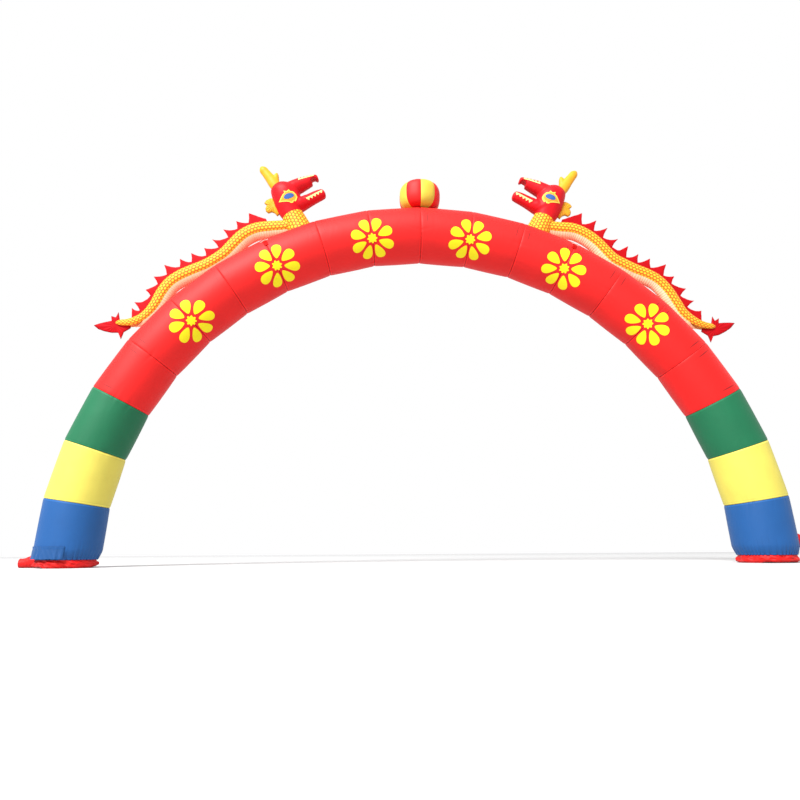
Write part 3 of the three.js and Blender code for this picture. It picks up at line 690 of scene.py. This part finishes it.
def rosette(sizes, angle):
    """A generic rosette of eight petals round a lobed boss. A petal is a circle pulled to a point:
    its width is sin(t) times (1 - 0.45 cos(t)), and each is turned by an eighth of a circle."""
    reach = sizes.ornament / 2
    t = full_turn(40)
    petal = reach * np.stack((0.66 - 0.34 * np.cos(t), 0.2 * np.sin(t) * (1 - 0.45 * np.cos(t))), -1)
    parts = []
    for k in range(8):
        turn = k * math.pi / 4 + math.pi / 8
        spin = np.array(((math.cos(turn), math.sin(turn)), (-math.sin(turn), math.cos(turn))))
        parts.append(patch_on_tube(sizes, petal @ spin, angle, math.radians(ORNAMENT_ROUND)))
    lobes = reach * (0.2 + 0.035 * np.cos(8 * t))
    boss = np.stack((lobes * np.cos(t), lobes * np.sin(t)), -1)
    parts.append(patch_on_tube(sizes, boss, angle, math.radians(ORNAMENT_ROUND)))
    return parts


def vent_flap(sizes):
    """A cloth band round part of the left foot: its section is a thin strip with a thicker hem at the
    top, carried round the leg's axis, and its lower edge wanders out by a slow wave."""
    _, ring, _ = tube_frame(sizes)
    turn = np.radians(np.linspace(FLAP["from"], FLAP["to"], 91))[:, None]
    height = np.linspace(0, 1, 19)
    section = np.concatenate((height, height[::-1]))[None, :]
    outer = np.concatenate((np.ones(19), np.zeros(19)))[None, :]
    z = FLAP["low"] + (FLAP["top"] - FLAP["low"]) * section
    lean = (z - sizes.skirt_height) * math.tan(math.pi / sizes.segments / 2)
    hem = np.where(z > FLAP["top"] - FLAP["hem"], 0.005, 0.0)
    wave = (0.0055 * (1 - section) * (1 + np.sin(23 * turn + 2 * np.sin(9 * turn)))
            + 0.0015 * np.sin(41 * turn + 9 * section))
    radius = FLAP["radius"] + outer * (FLAP["thickness"] + hem) + wave
    points = joined(lean - ring + radius * np.cos(turn), radius * np.sin(turn), z + 0.002 * np.sin(14 * turn))
    seam = np.abs(z - (FLAP["top"] - FLAP["hem"])) + 0 * turn
    around = np.concatenate((section, section[:, :1]), 1)
    return grid(points, joined(turn * 0.4, around * 0.15), seam)


def anchor_tab(sizes):
    """Webbing folded over the seam: a strip 110 mm long laid round the tube, whose middle is lifted
    by 9 mm times sin squared, with a blunt oval section 60 mm wide and 3.4 mm thick."""
    _, _, apothem = tube_frame(sizes)
    radius = sizes.tube_diameter / 2
    share = np.linspace(0, 1, 25)[:, None]
    around = math.radians(TAB_ROUND) + (share - 0.5) * 0.11 / radius
    corner = full_turn(16)[None, :]
    side = 0.030 * np.sign(np.cos(corner)) * np.abs(np.cos(corner)) ** 0.35
    thick = 0.0017 * np.sign(np.sin(corner)) * np.abs(np.sin(corner)) ** 0.5
    lift = 0.0025 + 0.009 * np.sin(math.pi * share) ** 2
    angle = -math.radians(TAB_SEAM) + side / (apothem + 0.25)
    return grid(on_tube(sizes, angle, around, radius + lift + thick))


def gusset(sizes):
    """A zigzag strip sewn above the tab: its middle line is a triangle wave of a turn and a half
    and 26 mm height, and the strip is 18 mm wide."""
    _, _, apothem = tube_frame(sizes)
    radius = sizes.tube_diameter / 2
    share = np.linspace(0, 1, 49)[:, None]
    zigzag = 0.026 * np.abs(2 * ((1.5 * share + 0.25) % 1) - 1)
    up = zigzag + np.array((0.009, -0.009, -0.009, 0.009))
    lift = np.array((0.0052, 0.0052, 0.0038, 0.0038))[None, :]
    around = math.radians(TAB_ROUND - 11) - up / radius
    angle = -math.radians(TAB_SEAM) + 0.12 * (share - 0.5) / (apothem + 0.3)
    return grid(on_tube(sizes, angle, around, radius + lift))


def body_line(rows, side):
    """A dragon's middle line, as on the left: place, direction towards its back, radius and distance."""
    angle, r, radius = BODY_PATH[side].T
    ahead = np.interp(angle, *RIGHT_AHEAD.T) if side == "right" else 0 * angle
    turn = np.radians(angle - ahead)
    table = np.stack((-r * np.sin(turn), RING_HEIGHT + r * np.cos(turn), radius, angle), -1)
    line, at = smooth_rows(table, rows)
    tangent = np.gradient(line[:, :2], at, axis=0)
    tangent /= np.linalg.norm(tangent, axis=1)[:, None]
    up = np.stack((tangent[:, 1], -tangent[:, 0]), -1)
    return line, up, at


def body_section(rows, turns, side, rib=0.0):
    """Sections of the body at given turns: the middle, plus radius times sin(turn) towards the back
    and radius times cos(turn) along Y. Ribs add a share of the radius by |sin| of the distance."""
    line, up, at = body_line(rows, side)
    radius = line[:, 2:3] * (1 + rib * (np.abs(np.sin(math.pi * at / RIB)) - 0.5))[:, None]
    rise = radius * np.sin(turns)[None, :]
    x = line[:, 0:1] + up[:, 0:1] * rise
    z = line[:, 1:2] + up[:, 1:2] * rise
    return np.stack((x, radius * np.cos(turns)[None, :], z), -1), at


def closed_by_chord(points):
    """Open arcs, each with eight more points on the straight line from its last point to its first."""
    low = np.linspace(0, 1, 10)[None, 1:-1, None]
    return np.concatenate((points, points[:, -1:] * (1 - low) + points[:, :1] * low), 1)


def scaled_body(sizes, side):
    """The scaled back: an open arc of the body's circle closed by its chord. UV counts scales."""
    arc = np.linspace(-CHORD, math.pi + CHORD, 49)
    points, at = body_section(440, arc, side)
    count = (arc + CHORD) / (2 * math.pi) * SCALES_ROUND
    count = np.concatenate((count, np.linspace(11.65, SCALES_ROUND, 9)))
    uv = joined(at[:, None] / SCALE_LENGTH, count[None, :])
    return grid(rest_on_tube(sizes, closed_by_chord(points), CLEAR), uv)


def chest(sizes):
    """The chest stump: ovals along a leaning axis, wider towards the tube, rolled in at the rim."""
    share = np.linspace(0, 1, 61)[:, None] ** 1.3
    turn = np.linspace(0, 2 * math.pi, 97)[None, :]
    lean = math.radians(90 + CHEST["tilt"])
    roll = np.clip(1 - share / 0.05, 0, 1)
    radius = (CHEST["top"] + (CHEST["foot"] - CHEST["top"]) * share + 0.006) * (1 - 0.16 * roll ** 2)
    radius = radius * (1 + 0.012 * np.sin(9 * turn + 3 * share) * np.clip(share * 3 - 1, 0, 1))
    down = share * CHEST["depth"] + 0.012 * (roll > 0.99)
    height = radius * np.cos(turn)
    points = joined(CHEST["x"] - down * math.cos(lean) - math.sin(lean) * height,
                    radius * CHEST["width"] * np.sin(turn),
                    CHEST["z"] - down * math.sin(lean) + math.cos(lean) * height)
    uv = joined(share * CHEST["depth"] / SCALE_LENGTH, turn / (2 * math.pi) * CHEST_SCALES)
    return grid(rest_on_tube(sizes, points[:, :-1], CLEAR), uv)


def belly_strip(sizes, side):
    """The belly: the arc under the chord, ribbed across, hanging 38 mm lower in its middle. Its ends
    taper to 15 % over 120 mm."""
    arc = np.linspace(math.pi + CHORD, 2 * math.pi - CHORD, 17)
    points, at = body_section(520, arc, side, 0.04)
    line, up, _ = body_line(520, side)
    keep = (line[:, 3] > 21.2) & (line[:, 3] < 51.2)
    points, at, up = points[keep], at[keep], up[keep]
    hang = 0.038 * (-np.sin(arc) - math.sin(CHORD)) / (1 - math.sin(CHORD))
    points[..., 0::2] -= up[:, None] * hang[None, :, None]
    loop = closed_by_chord(points)
    loop[:, :len(arc), 0::2] -= up[:, None] * 0.0006
    taper = np.clip(np.minimum(at - at[0], at[-1] - at) / 0.12, 0.15, 1)[:, None, None]
    centre = loop.mean(1, keepdims=True)
    loop = centre + (loop - centre) * taper
    uv = joined(at[:, None], np.linspace(0, 0.3, loop.shape[1] + 1)[None, :])
    # Painted shade along the rib grooves: the seam layer is least in them, so the taffeta draws them darker.
    seam = 0.008 + (0.5 - np.abs((at / RIB) % 1 - 0.5))[:, None] * RIB + 0 * loop[..., 0]
    return grid(rest_on_tube(sizes, loop), uv, seam)


def back_fin(side):
    """The back fin: from each spike's foot a slightly hollow line rises to the tip and drops behind
    it. The cloth is 16 mm thick at the body and thins towards the edge as the root of 1 minus height
    squared, with small folds across."""
    line, up, at = body_line(800, side)
    foot, band, rear = 25.3, 0.050, 0.45
    angles, heights = [foot], [band]
    for tip, height in SPIKES[side]:
        angles += [foot + part * (tip - foot) for part in (0.3, 0.6, 0.85, 1)]
        angles += [tip + rear * 0.4, tip + rear]
        heights += [band + part * (height - band) for part in (0.13, 0.38, 0.72, 1, 0.42, 0)]
        foot = tip + rear
    keep = (line[:, 3] >= angles[0]) & (line[:, 3] <= angles[-1])
    line, up, at = line[keep], up[keep], at[keep]
    crest = np.interp(line[:, 3], angles, heights)
    ends = np.clip(np.minimum(at - at[0], at[-1] - at) / 0.02, 0.02, 1)
    share = np.linspace(0, 1, 9)[None, :]
    out = line[:, 2:3] - 0.02 + (crest * ends + 0.02)[:, None] * share
    folds = 0.0022 * np.sin(2 * math.pi * at / 0.043)[:, None] * share * (1 - share)
    half = 0.008 * np.sqrt(np.maximum(1 - share ** 2, 0.01)) + 0.5 * folds
    x, z = line[:, 0:1] + up[:, 0:1] * out, line[:, 1:2] + up[:, 1:2] * out
    points = np.concatenate((joined(x, folds - half, z), joined(x, folds + half, z)[:, ::-1]), 1)
    # Painted shadow along the fin's foot: the seam layer rises from zero at the body, so the taffeta draws
    # the foot darker.
    distance = crest[:, None] * share
    return grid(points, None, np.concatenate((distance, distance[:, ::-1]), 1))


def tail_fan(sizes, lift):
    """The tail fan against the tube, its rear points raised by a share of their distance."""
    raised = np.stack((0 * TAIL_OUTLINE[:, 0], lift * np.maximum(TAIL_OUTLINE[:, 0], 0)), -1)
    outline = TAIL_END + (TAIL_OUTLINE + raised) * (-1, 1)
    fan = pillow(outline, TAIL_END + np.array((-0.025, -0.035)), 0.026, 0.002)
    fan["points"] = rest_on_tube(sizes, fan["points"])
    return fan


def resampled(outline, samples):
    """Evenly spaced points round a closed outline."""
    closed = np.vstack((outline, outline[:1]))
    knots = np.concatenate(([0.0], np.cumsum(np.linalg.norm(np.diff(closed, axis=0), axis=1))))
    at = np.linspace(0, knots[-1], samples, endpoint=False)
    return np.stack([np.interp(at, knots, closed[:, k]) for k in (0, 1)], -1)


def pillow(outline, centre, thickness, folds):
    """A puffed flat piece. Its outline is shrunk towards a centre by q from 1 to 0, and its half
    thickness there is that of the piece times the root of 1 minus q to the fourth power."""
    edge = resampled(outline, 220)
    near = 0.25 * np.roll(edge, 1, 0) + 0.5 * edge + 0.25 * np.roll(edge, -1, 0)
    angle = np.arctan2(near[:, 1] - centre[1], near[:, 0] - centre[0])[None, :]
    q = np.concatenate((np.linspace(0, 0.9, 9), (0.95, 0.985, 1.0)))
    q = np.concatenate((q, q[::-1]))[:, None]
    face = np.repeat((-1, 1), len(q) // 2)[:, None]
    flat = centre + (near - centre)[None] * q[..., None]
    half = thickness / 2 * np.sqrt(np.maximum(1 - q ** 4, 0))
    wave = folds * np.sin(17 * angle) * (q ** 2 * (1 - q)) * 7
    points = joined(flat[..., 0], face * half + wave, flat[..., 1])
    return grid(points, None, 0.1 * (1 - q) + 0 * wave, ends=False)


def fused(name, grids, voxel, rounds, cutter=None):
    """Several closed shapes made one skin: a voxel remesh over all of them, less the cutter's shape,
    then rounds of smoothing that draw each point halfway to its neighbours' mean."""
    skin = build_piece(name, grids)
    skin.modifiers.new("Union", "REMESH").voxel_size = voxel
    if cutter:
        skin.modifiers.new("Bite", "BOOLEAN").object = cutter
        skin.modifiers.new("Even", "REMESH").voxel_size = voxel
    smooth = skin.modifiers.new("Soften", "SMOOTH")
    smooth.factor = 0.5
    smooth.iterations = rounds
    applied(skin)
    if cutter:
        bpy.data.objects.remove(cutter)
    set_layer(skin.data, "seam", np.abs(coordinates(skin.data)[:, 1]))
    smooth_faces(skin.data)
    return skin


def sewn_head():
    """The head: skull and both jaws fused into one puffed skin, with a round bite before the fang.
    A seam round the middle is drawn in by 4 mm times exp(-(y / 8 mm) squared), and short waves
    gather the cloth at the corner of the mouth."""
    x, z, r = FANG_NOTCH
    turn = full_turn(24)[None, :]
    bite = joined(x + r * np.cos(turn), np.array((-0.3, 0.3))[:, None], z + r * np.sin(turn))
    head = fused("dragon_left_head_cloth", [
        oval_tube(SKULL, 60, 64), oval_tube(UPPER_JAW, 50, 48), oval_tube(LOWER_JAW, 50, 48)],
        0.0095, 8, build_piece("bite", [grid(bite)]))
    mesh = head.data
    places = coordinates(mesh)
    normals = np.empty(len(mesh.vertices) * 3, np.float32)
    mesh.vertex_normals.foreach_get("vector", normals)
    x, y, z = places.T
    draw = 0.004 * np.exp(-(y / 0.008) ** 2)
    from_mouth = (x - MOUTH[0]) ** 2 + (z - MOUTH[1]) ** 2
    wrinkle = 0.0026 * np.sin(70 * x + 55 * z + 5 * np.sin(22 * y)) * np.exp(-from_mouth / 0.02)
    set_coordinates(mesh, places - normals.reshape(-1, 3) * (draw + wrinkle)[:, None])
    return head


def laid_on_head(name, flat, head, lift):
    """A flat patch moved straight along Y onto the head, lifted and given a thickness of 2 mm."""
    patch = build_piece(name, [flat], 180)
    wrap = patch.modifiers.new("Lay", "SHRINKWRAP")
    wrap.target = head
    wrap.wrap_method = "PROJECT"
    wrap.use_project_y = True
    wrap.use_positive_direction = True
    wrap.use_negative_direction = False
    wrap.wrap_mode = "ABOVE_SURFACE"
    wrap.offset = lift
    thick = patch.modifiers.new("Cloth", "SOLIDIFY")
    thick.thickness = 0.002
    thick.offset = 0.0
    applied(patch)
    if coordinates(patch.data)[:, 1].min() < PATCH_Y + 0.1:
        raise RuntimeError(f"{name} reaches past the head")
    finish_mesh(patch.data)
    return patch


def flat_patch(outline):
    """A flat patch at PATCH_Y: its outline shrunk towards its middle row by row."""
    middle = outline.mean(0)
    flat = middle + (resampled(outline, 96) - middle)[None] * np.linspace(0, 1, 9)[:, None, None]
    return grid(joined(flat[..., 0], PATCH_Y, flat[..., 1]), ends=False)


def tooth_strip(start, end, way):
    """A gum line at PATCH_Y with teeth on one side of it: the strip is 14 mm wide, plus a triangle
    wave of 36 mm that shrinks by a quarter towards the end."""
    share = np.linspace(0, 1, 20 * TEETH + 1)[None, :]
    depth = np.linspace(0, 1, 7)[:, None]
    wave = 1 - np.abs(2 * ((share * TEETH) % 1) - 1)
    run = np.array(end) - np.array(start)
    across = way * np.array((-run[1], run[0])) / np.linalg.norm(run)
    reach = depth * (0.014 + 0.036 * wave * (1 - 0.25 * share))
    points = joined(start[0] + run[0] * share + across[0] * reach, PATCH_Y,
                    start[1] + run[1] * share + across[1] * reach)
    return grid(points, wrap=False, ends=False)


# Properties, operators and panel

def length(name, description, default, **limits):
    """A length that a user may change."""
    return bpy.props.FloatProperty(
        name=name, description=description, default=default, unit="LENGTH", **limits)


def cloth_colour(name, description, hex_colour):
    """A cloth colour that a user may change."""
    return bpy.props.FloatVectorProperty(
        name=name, description=description, subtype="COLOR", default=linear(hex_colour))


class ArchSizes(bpy.types.PropertyGroup):
    """Sizes that a user would change."""

    span: length("Span", "Width over both legs", 10.0, min=4.0)
    tube_diameter: length("Tube", "Diameter of the tube", 0.8, min=0.2)
    segments: bpy.props.IntProperty(
        name="Segments", description="Straight lengths in the half ring", default=20, min=6)
    skirt_height: length("Skirt", "Height of the gathered skirts", 0.1, min=0.0)
    barrel: length("Barrel", "How far the cloth bulges between two seams", 0.003)
    seam_pinch: length("Seam Pinch", "How far a seam draws the cloth in", 0.008)
    ball_radius: length("Ball", "Radius of the crown ball", 0.302, min=0.05)
    ball_height: length("Ball Height", "Height of the ball's middle", 5.322)
    ornament: length("Ornament", "Width of a rosette", 0.62, min=0.1)


class ArchColours(bpy.types.PropertyGroup):
    """Cloth colours that a user would change."""

    red: cloth_colour("Red", "Red tube cloth", "#dc0d09")
    yellow: cloth_colour("Yellow", "Yellow tube cloth", "#d4c654")
    green: cloth_colour("Green", "Green tube cloth", "#0a6440")
    blue: cloth_colour("Blue", "Blue tube cloth", "#12508e")
    crimson: cloth_colour("Crimson", "Dragon's head, fin and tail", "#c00e18")
    gold: cloth_colour("Gold", "Horn and nape frill", "#d4941e")
    peach: cloth_colour("Peach", "Dragon's belly", "#ffbc98")
    scale: cloth_colour("Scale", "Middle of a scale", "#e4b42c")
    outline: cloth_colour("Outline", "Line round a scale", "#c8540a")
    ornament: cloth_colour("Ornament", "Rosette cloth", "#dccb00")


class ARCH_OT_tube(bpy.types.Operator):
    """Builds the twenty mitred lengths of the half ring."""

    bl_idname = "arch.tube"
    bl_label = "Tube"

    def execute(self, context):
        sizes, colours = context.scene.arch_sizes, context.scene.arch_colours
        cloth = {colour: coated_oxford(f"{colour}_coated_oxford", getattr(colours, colour))
                 for colour in ("red", "yellow", "green", "blue")}
        for number in range(sizes.segments):
            side = "left" if number < sizes.segments / 2 else "right"
            from_foot = min(number, sizes.segments - 1 - number)
            colour = ("blue", "yellow", "green")[from_foot] if from_foot < 3 else "red"
            node = f"leg_{side}_{colour}" if from_foot < 3 else f"arch_red_{number - 2:02d}"
            cloth_for(node, [tube_segment(sizes, number)], cloth[colour])
        return {"FINISHED"}


class ARCH_OT_ornaments(bpy.types.Operator):
    """Sews six rosettes on the front of the red tube."""

    bl_idname = "arch.ornaments"
    bl_label = "Ornaments"

    def execute(self, context):
        sizes, colours = context.scene.arch_sizes, context.scene.arch_colours
        felt = applique_felt("yellow_applique_felt", colours.ornament)
        for number, angle in enumerate(ORNAMENT_ANGLES, 1):
            piece = build_piece(f"rosette_{number}", rosette(sizes, math.radians(angle)))
            dress(piece, felt)
            declare_sheet(piece)
        return {"FINISHED"}


class ARCH_OT_ball(bpy.types.Operator):
    """Builds the ball of eight gores on the crown."""

    bl_idname = "arch.ball"
    bl_label = "Ball"

    def execute(self, context):
        sizes, colours = context.scene.arch_sizes, context.scene.arch_colours
        golden = [c * part for c, part in zip(colours.yellow, (1.0, 0.85, 0.5))]
        cloth = {colour: coated_oxford(f"{colour}_gore_oxford", tint, wrinkle=0.004, hem=0.03)
                 for colour, tint in (("yellow", golden), ("red", colours.red))}
        for number in range(GORES):
            colour = "red" if number % 2 else "yellow"
            gore = [ball_gore(sizes, number)]
            cloth_for(f"ball_gore_{number + 1}", gore, cloth[colour])
        return {"FINISHED"}


class ARCH_OT_feet(bpy.types.Operator):
    """Builds the gathered skirts, the air sleeves and the flap on the left foot."""

    bl_idname = "arch.feet"
    bl_label = "Feet"

    def execute(self, context):
        sizes, colours = context.scene.arch_sizes, context.scene.arch_colours
        gathered = coated_oxford("gathered_red_oxford", [0.95 * c for c in colours.red], wrinkle=0.012)
        _, ring, _ = tube_frame(sizes)
        for side, way, phase in (("left", -1, 0.4), ("right", 1, 2.1)):
            cloth_for(f"foot_skirt_{side}", [foot_skirt(way * ring, phase)], gathered)
        for side, way, table in (("left", -1, SLEEVE_LEFT), ("right", 1, SLEEVE_RIGHT)):
            sleeve = oval_tube(table, 70, 56, SLEEVE_Y, self.crimp)
            sleeve["points"][..., 0] *= way
            sleeve["points"] = self.clear_of_foot(sizes, sleeve["points"], way * ring)
            cloth_for(f"air_sleeve_{side}", [sleeve], gathered)
        blue = coated_oxford("blue_flap_oxford", [0.8 * c for c in colours.blue], 0.55, 0.012, hem=0.02)
        flap = cloth_for("vent_flap", [vent_flap(sizes)], blue)
        declare_sheet(flap)
        return {"FINISHED"}

    @staticmethod
    def crimp(at, turn):
        """Share of a sleeve's radius: rings every 50 mm that come and go three times round it."""
        return 1 + 0.035 * np.sin(2 * math.pi * at / 0.05 + 1.5 * np.sin(turn)) * np.sin(3 * turn)

    @staticmethod
    def clear_of_foot(sizes, points, foot):
        """Moves points out of the leg, and out of the skirt's circle below its top."""
        centre = np.array((foot, 0.0))
        points = rest_on_tube(sizes, points)
        away = points[..., :2] - centre
        far = np.maximum(np.linalg.norm(away, axis=-1, keepdims=True), 1e-6)
        low = (far < SKIRT_CIRCLE) & (points[..., 2:3] < sizes.skirt_height + 0.02)
        away = np.where(low, away / far * SKIRT_CIRCLE, away)
        return np.concatenate((away + centre, np.maximum(points[..., 2:3], 0.001)), -1)


class ARCH_OT_tabs(bpy.types.Operator):
    """Sews the anchor tabs and their gussets on the front of the tube."""

    bl_idname = "arch.tabs"
    bl_label = "Anchor Tabs"

    def execute(self, context):
        sizes, colours = context.scene.arch_sizes, context.scene.arch_colours
        webbing = taffeta("dark_red_webbing", [0.5 * c for c in colours.red], 0.6, 0.002, 60.0)
        pale = taffeta("faded_red_webbing", linear("#e8948c"), 0.6, 0.002, 60.0)
        tab = build_piece("anchor_tab_left_webbing", [anchor_tab(sizes)])
        strip = build_piece("anchor_gusset_left", [gusset(sizes)])
        for side, number in (("left", 5), ("right", 11)):
            if side == "right":
                tab = mirrored(tab, "anchor_tab_right_webbing")
                strip = mirrored(strip, "anchor_gusset_right")
            dress(tab, webbing, [f"anchor_tab_{side}"])
            dress(strip, pale)
            declare_sheet(strip)
        return {"FINISHED"}


class ARCH_OT_dragon_bodies(bpy.types.Operator):
    """Builds the scaled bodies with their bellies, back fins and tail fans."""

    bl_idname = "arch.dragon_bodies"
    bl_label = "Dragon Bodies"

    def execute(self, context):
        sizes, colours = context.scene.arch_sizes, context.scene.arch_colours
        scales = scaled_print("scale_printed_polyester", colours.scale, colours.outline)
        peach = taffeta("peach_taffeta", colours.peach, 0.55)
        crimson = taffeta("dark_crimson_taffeta", [0.68 * c for c in colours.crimson], 0.6, 0.006)
        for side, way, lift in (("left", 1, 0.0), ("right", -1, 0.3)):
            for part, grids, material, slot, fill in (
                    ("body", [scaled_body(sizes, side), chest(sizes)], scales, "scaled_cloth", 0.9),
                    ("belly", [belly_strip(sizes, side)], peach, "belly_cloth", 0.9),
                    ("fin", [back_fin(side)], crimson, "crimson_cloth", 0.9),
                    ("tail", [tail_fan(sizes, lift)], crimson, "crimson_cloth", 0.7)):
                for shape in grids:
                    shape["points"][..., 0] *= way
                cloth_for(f"dragon_{side}_{part}", grids, material)
        return {"FINISHED"}


class ARCH_OT_dragon_heads(bpy.types.Operator):
    """Builds the heads with their horns, nape frills, eyes and teeth."""

    bl_idname = "arch.dragon_heads"
    bl_label = "Dragon Heads"

    def execute(self, context):
        colours = context.scene.arch_colours
        crimson = taffeta("crimson_head_taffeta", colours.crimson, 0.5, 0.006, gloss=0.15)
        gold = taffeta("gold_taffeta", colours.gold, 0.5, gloss=0.2)
        felts = {part: applique_felt(name, linear(colour)) for part, name, colour in (
            ("flame", "flame_orange_felt", "#cc8c20"), ("rim", "pale_yellow_felt", "#dcc04c"),
            ("pupil", "slate_blue_felt", "#2a5090"), ("teeth_upper", "cream_felt", "#dccb80"))}
        felts["teeth_lower"] = felts["teeth_upper"]
        head = sewn_head()
        horn = fused("dragon_left_horn_cloth", [
            oval_tube(HORN_BRANCH, 40, 40), oval_tube(HORN_PRONG, 30, 32)], 0.008, 6)
        mane = build_piece("dragon_left_mane_cloth", [pillow(MANE_OUTLINE, MANE_MIDDLE, 0.07, 0.004)])
        for side in ("left", "right"):
            for part, cheek, patch, flat in self.face(head, side):
                piece = patch
                if side == "right":
                    piece = mirrored(patch, f"dragon_right_{part}_{cheek}", shift=RIGHT_HEAD)
                    bpy.data.objects.remove(patch)
                dress(piece, felts[part])
                declare_sheet(piece)
        for part, left, material, slot, shift in (
                ("head", head, crimson, "crimson_cloth", RIGHT_HEAD),
                ("horn", horn, gold, "gold_cloth", RIGHT_HORN),
                ("mane", mane, gold, "gold_cloth", RIGHT_HEAD)):
            right = mirrored(left, f"dragon_right_{part}_cloth", shift=shift)
            for side, piece in (("left", left), ("right", right)):
                dress(piece, material, [f"dragon_{side}_{part}"])
        return {"FINISHED"}

    @staticmethod
    def face(head, side):
        """The felt patches of one side's head, all built on the left head: laid on its near cheek, and
        mirrored onto the far one. The right ones are temporary, until they're mirrored to its place."""
        t = full_turn(60)
        tilt = math.radians(PUPIL["tilt"])
        oval = np.stack((PUPIL["half_length"] * np.cos(t), PUPIL["half_height"] * np.sin(t)), -1)
        oval = oval @ np.array(((math.cos(tilt), math.sin(tilt)), (-math.sin(tilt), math.cos(tilt))))
        centre = EYE_CENTRE[side]
        shapes = [
            ("rim", flat_patch(EYE_OUTLINE * 0.96 + centre), 0.003, (0.31, 0.24)),
            ("flame", flat_patch(EYE_OUTLINE * 0.76 + centre), 0.0055, (0.24, 0.19)),
            ("pupil", flat_patch(oval + centre), 0.008, (0.16, 0.11)),
        ]
        for jaw, strip in TOOTH_STRIPS[side].items():
            shapes.append((f"teeth_{jaw}", tooth_strip(*strip), 0.003, (0.3, 0.07)))
        patches = []
        for part, shape, lift, flat in shapes:
            near = laid_on_head(f"dragon_left_{part}_near", shape, head, lift)
            far = mirrored(near, f"dragon_left_{part}_far", axis=1)
            patches += [(part, "near", near, flat), (part, "far", far, flat)]
        return patches


class ARCH_OT_stage(bpy.types.Operator):
    """Sets the camera, the pale floor and the soft studio light."""

    bl_idname = "arch.stage"
    bl_label = "Stage"

    def execute(self, context):
        scene = context.scene
        self.key_light()
        self.floor()
        scene.world = bpy.data.worlds.new("studio_air")
        scene.world.use_nodes = True
        air = scene.world.node_tree.nodes["Background"].inputs
        air["Color"].default_value = (1.0, 1.0, 1.0, 1.0)
        air["Strength"].default_value = 1.0
        scene.view_settings.view_transform = "Standard"
        scene.camera = self.camera()
        return {"FINISHED"}

    @staticmethod
    def stand(thing, across, above, behind, place):
        """Turns an object to three axes and moves it to a place."""
        turn = np.eye(4)
        turn[:3] = np.stack((across, above, behind, place), -1)
        thing.matrix_world = Matrix(turn.tolist())

    def camera(self):
        """Eye at 0.2 m, turned 2.26 degrees right, tilted 13.02 up, and rolled 0.39 clockwise."""
        lens = bpy.data.cameras.new("camera")
        lens.sensor_width = 36.0
        lens.lens = 29.12
        lens.clip_end = 300.0
        camera = new_object("camera", lens)
        yaw, pitch, roll = (math.radians(a) for a in (2.264, 13.017, 0.386))
        right = np.array((math.cos(yaw), -math.sin(yaw), 0.0))
        level = np.array((math.sin(yaw), math.cos(yaw), 0.0))
        up = np.array((0.0, 0.0, 1.0))
        ahead = level * math.cos(pitch) + up * math.sin(pitch)
        above = up * math.cos(pitch) - level * math.sin(pitch)
        self.stand(camera, math.cos(roll) * right - math.sin(roll) * above,
                   math.sin(roll) * right + math.cos(roll) * above, -ahead, (-0.648, -8.719, 0.2))
        return camera

    def key_light(self):
        """A square soft light 14 m wide, high on the left, that faces a point 3 m above the origin."""
        light = bpy.data.lights.new("key_light", "AREA")
        light.energy = 28500.0
        light.size = 14.0
        place = np.array((-15.5, -22.5, 27.0))
        ahead = np.array((0.0, 0.0, 3.0)) - place
        ahead /= np.linalg.norm(ahead)
        side = np.cross(ahead, (0.0, 0.0, 1.0))
        side /= np.linalg.norm(side)
        self.stand(new_object("key_light", light), side, np.cross(side, ahead), -ahead, place)

    @staticmethod
    def floor():
        """Level square floor, 40 m wide."""
        side = np.array((-20.0, 20.0))
        level = grid(joined(side, side[:, None], 0.0), wrap=False, ends=False)
        floor = build_piece("studio_floor", [level], 180)
        material, tree, places = start_material("painted_floor")
        grain = add_node(tree, "TexNoise", {"Vector": places["Object"], "Scale": 1.5})
        tone = mix(tree, grain, shade(linear("#c0c0c0"), 1), shade(linear("#c4c4c4"), 1))
        floor.data.materials.append(finish_material(material, tone, None, 0.85, 0.0, 0.2))
        return floor


class ARCH_PT_panel(bpy.types.Panel):
    """Sidebar panel with the sizes, the colours and the steps."""

    bl_idname = "ARCH_PT_panel"
    bl_label = "Celebration Arch"
    bl_space_type = "VIEW_3D"
    bl_region_type = "UI"
    bl_category = "Arch"

    def draw(self, context):
        for group in (context.scene.arch_sizes, context.scene.arch_colours):
            box = self.layout.box()
            for name in group.__annotations__:
                box.prop(group, name)
        for step in STEPS:
            self.layout.operator(step.bl_idname)


STEPS = (
    ARCH_OT_tube, ARCH_OT_ornaments, ARCH_OT_ball, ARCH_OT_feet, ARCH_OT_tabs,
    ARCH_OT_dragon_bodies, ARCH_OT_dragon_heads, ARCH_OT_stage,
)
CLASSES = (ArchSizes, ArchColours, *STEPS, ARCH_PT_panel)


def register():
    for cls in CLASSES:
        bpy.utils.register_class(cls)
    bpy.types.Scene.arch_sizes = bpy.props.PointerProperty(type=ArchSizes)
    bpy.types.Scene.arch_colours = bpy.props.PointerProperty(type=ArchColours)


def unregister():
    del bpy.types.Scene.arch_colours
    del bpy.types.Scene.arch_sizes
    for cls in reversed(CLASSES):
        bpy.utils.unregister_class(cls)


def main():
    """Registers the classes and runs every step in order."""
    register()
    bpy.ops.arch.tube()
    bpy.ops.arch.ornaments()
    bpy.ops.arch.ball()
    bpy.ops.arch.feet()
    bpy.ops.arch.tabs()
    bpy.ops.arch.dragon_bodies()
    bpy.ops.arch.dragon_heads()
    bpy.ops.arch.stage()


if __name__ == "__main__":
    main()
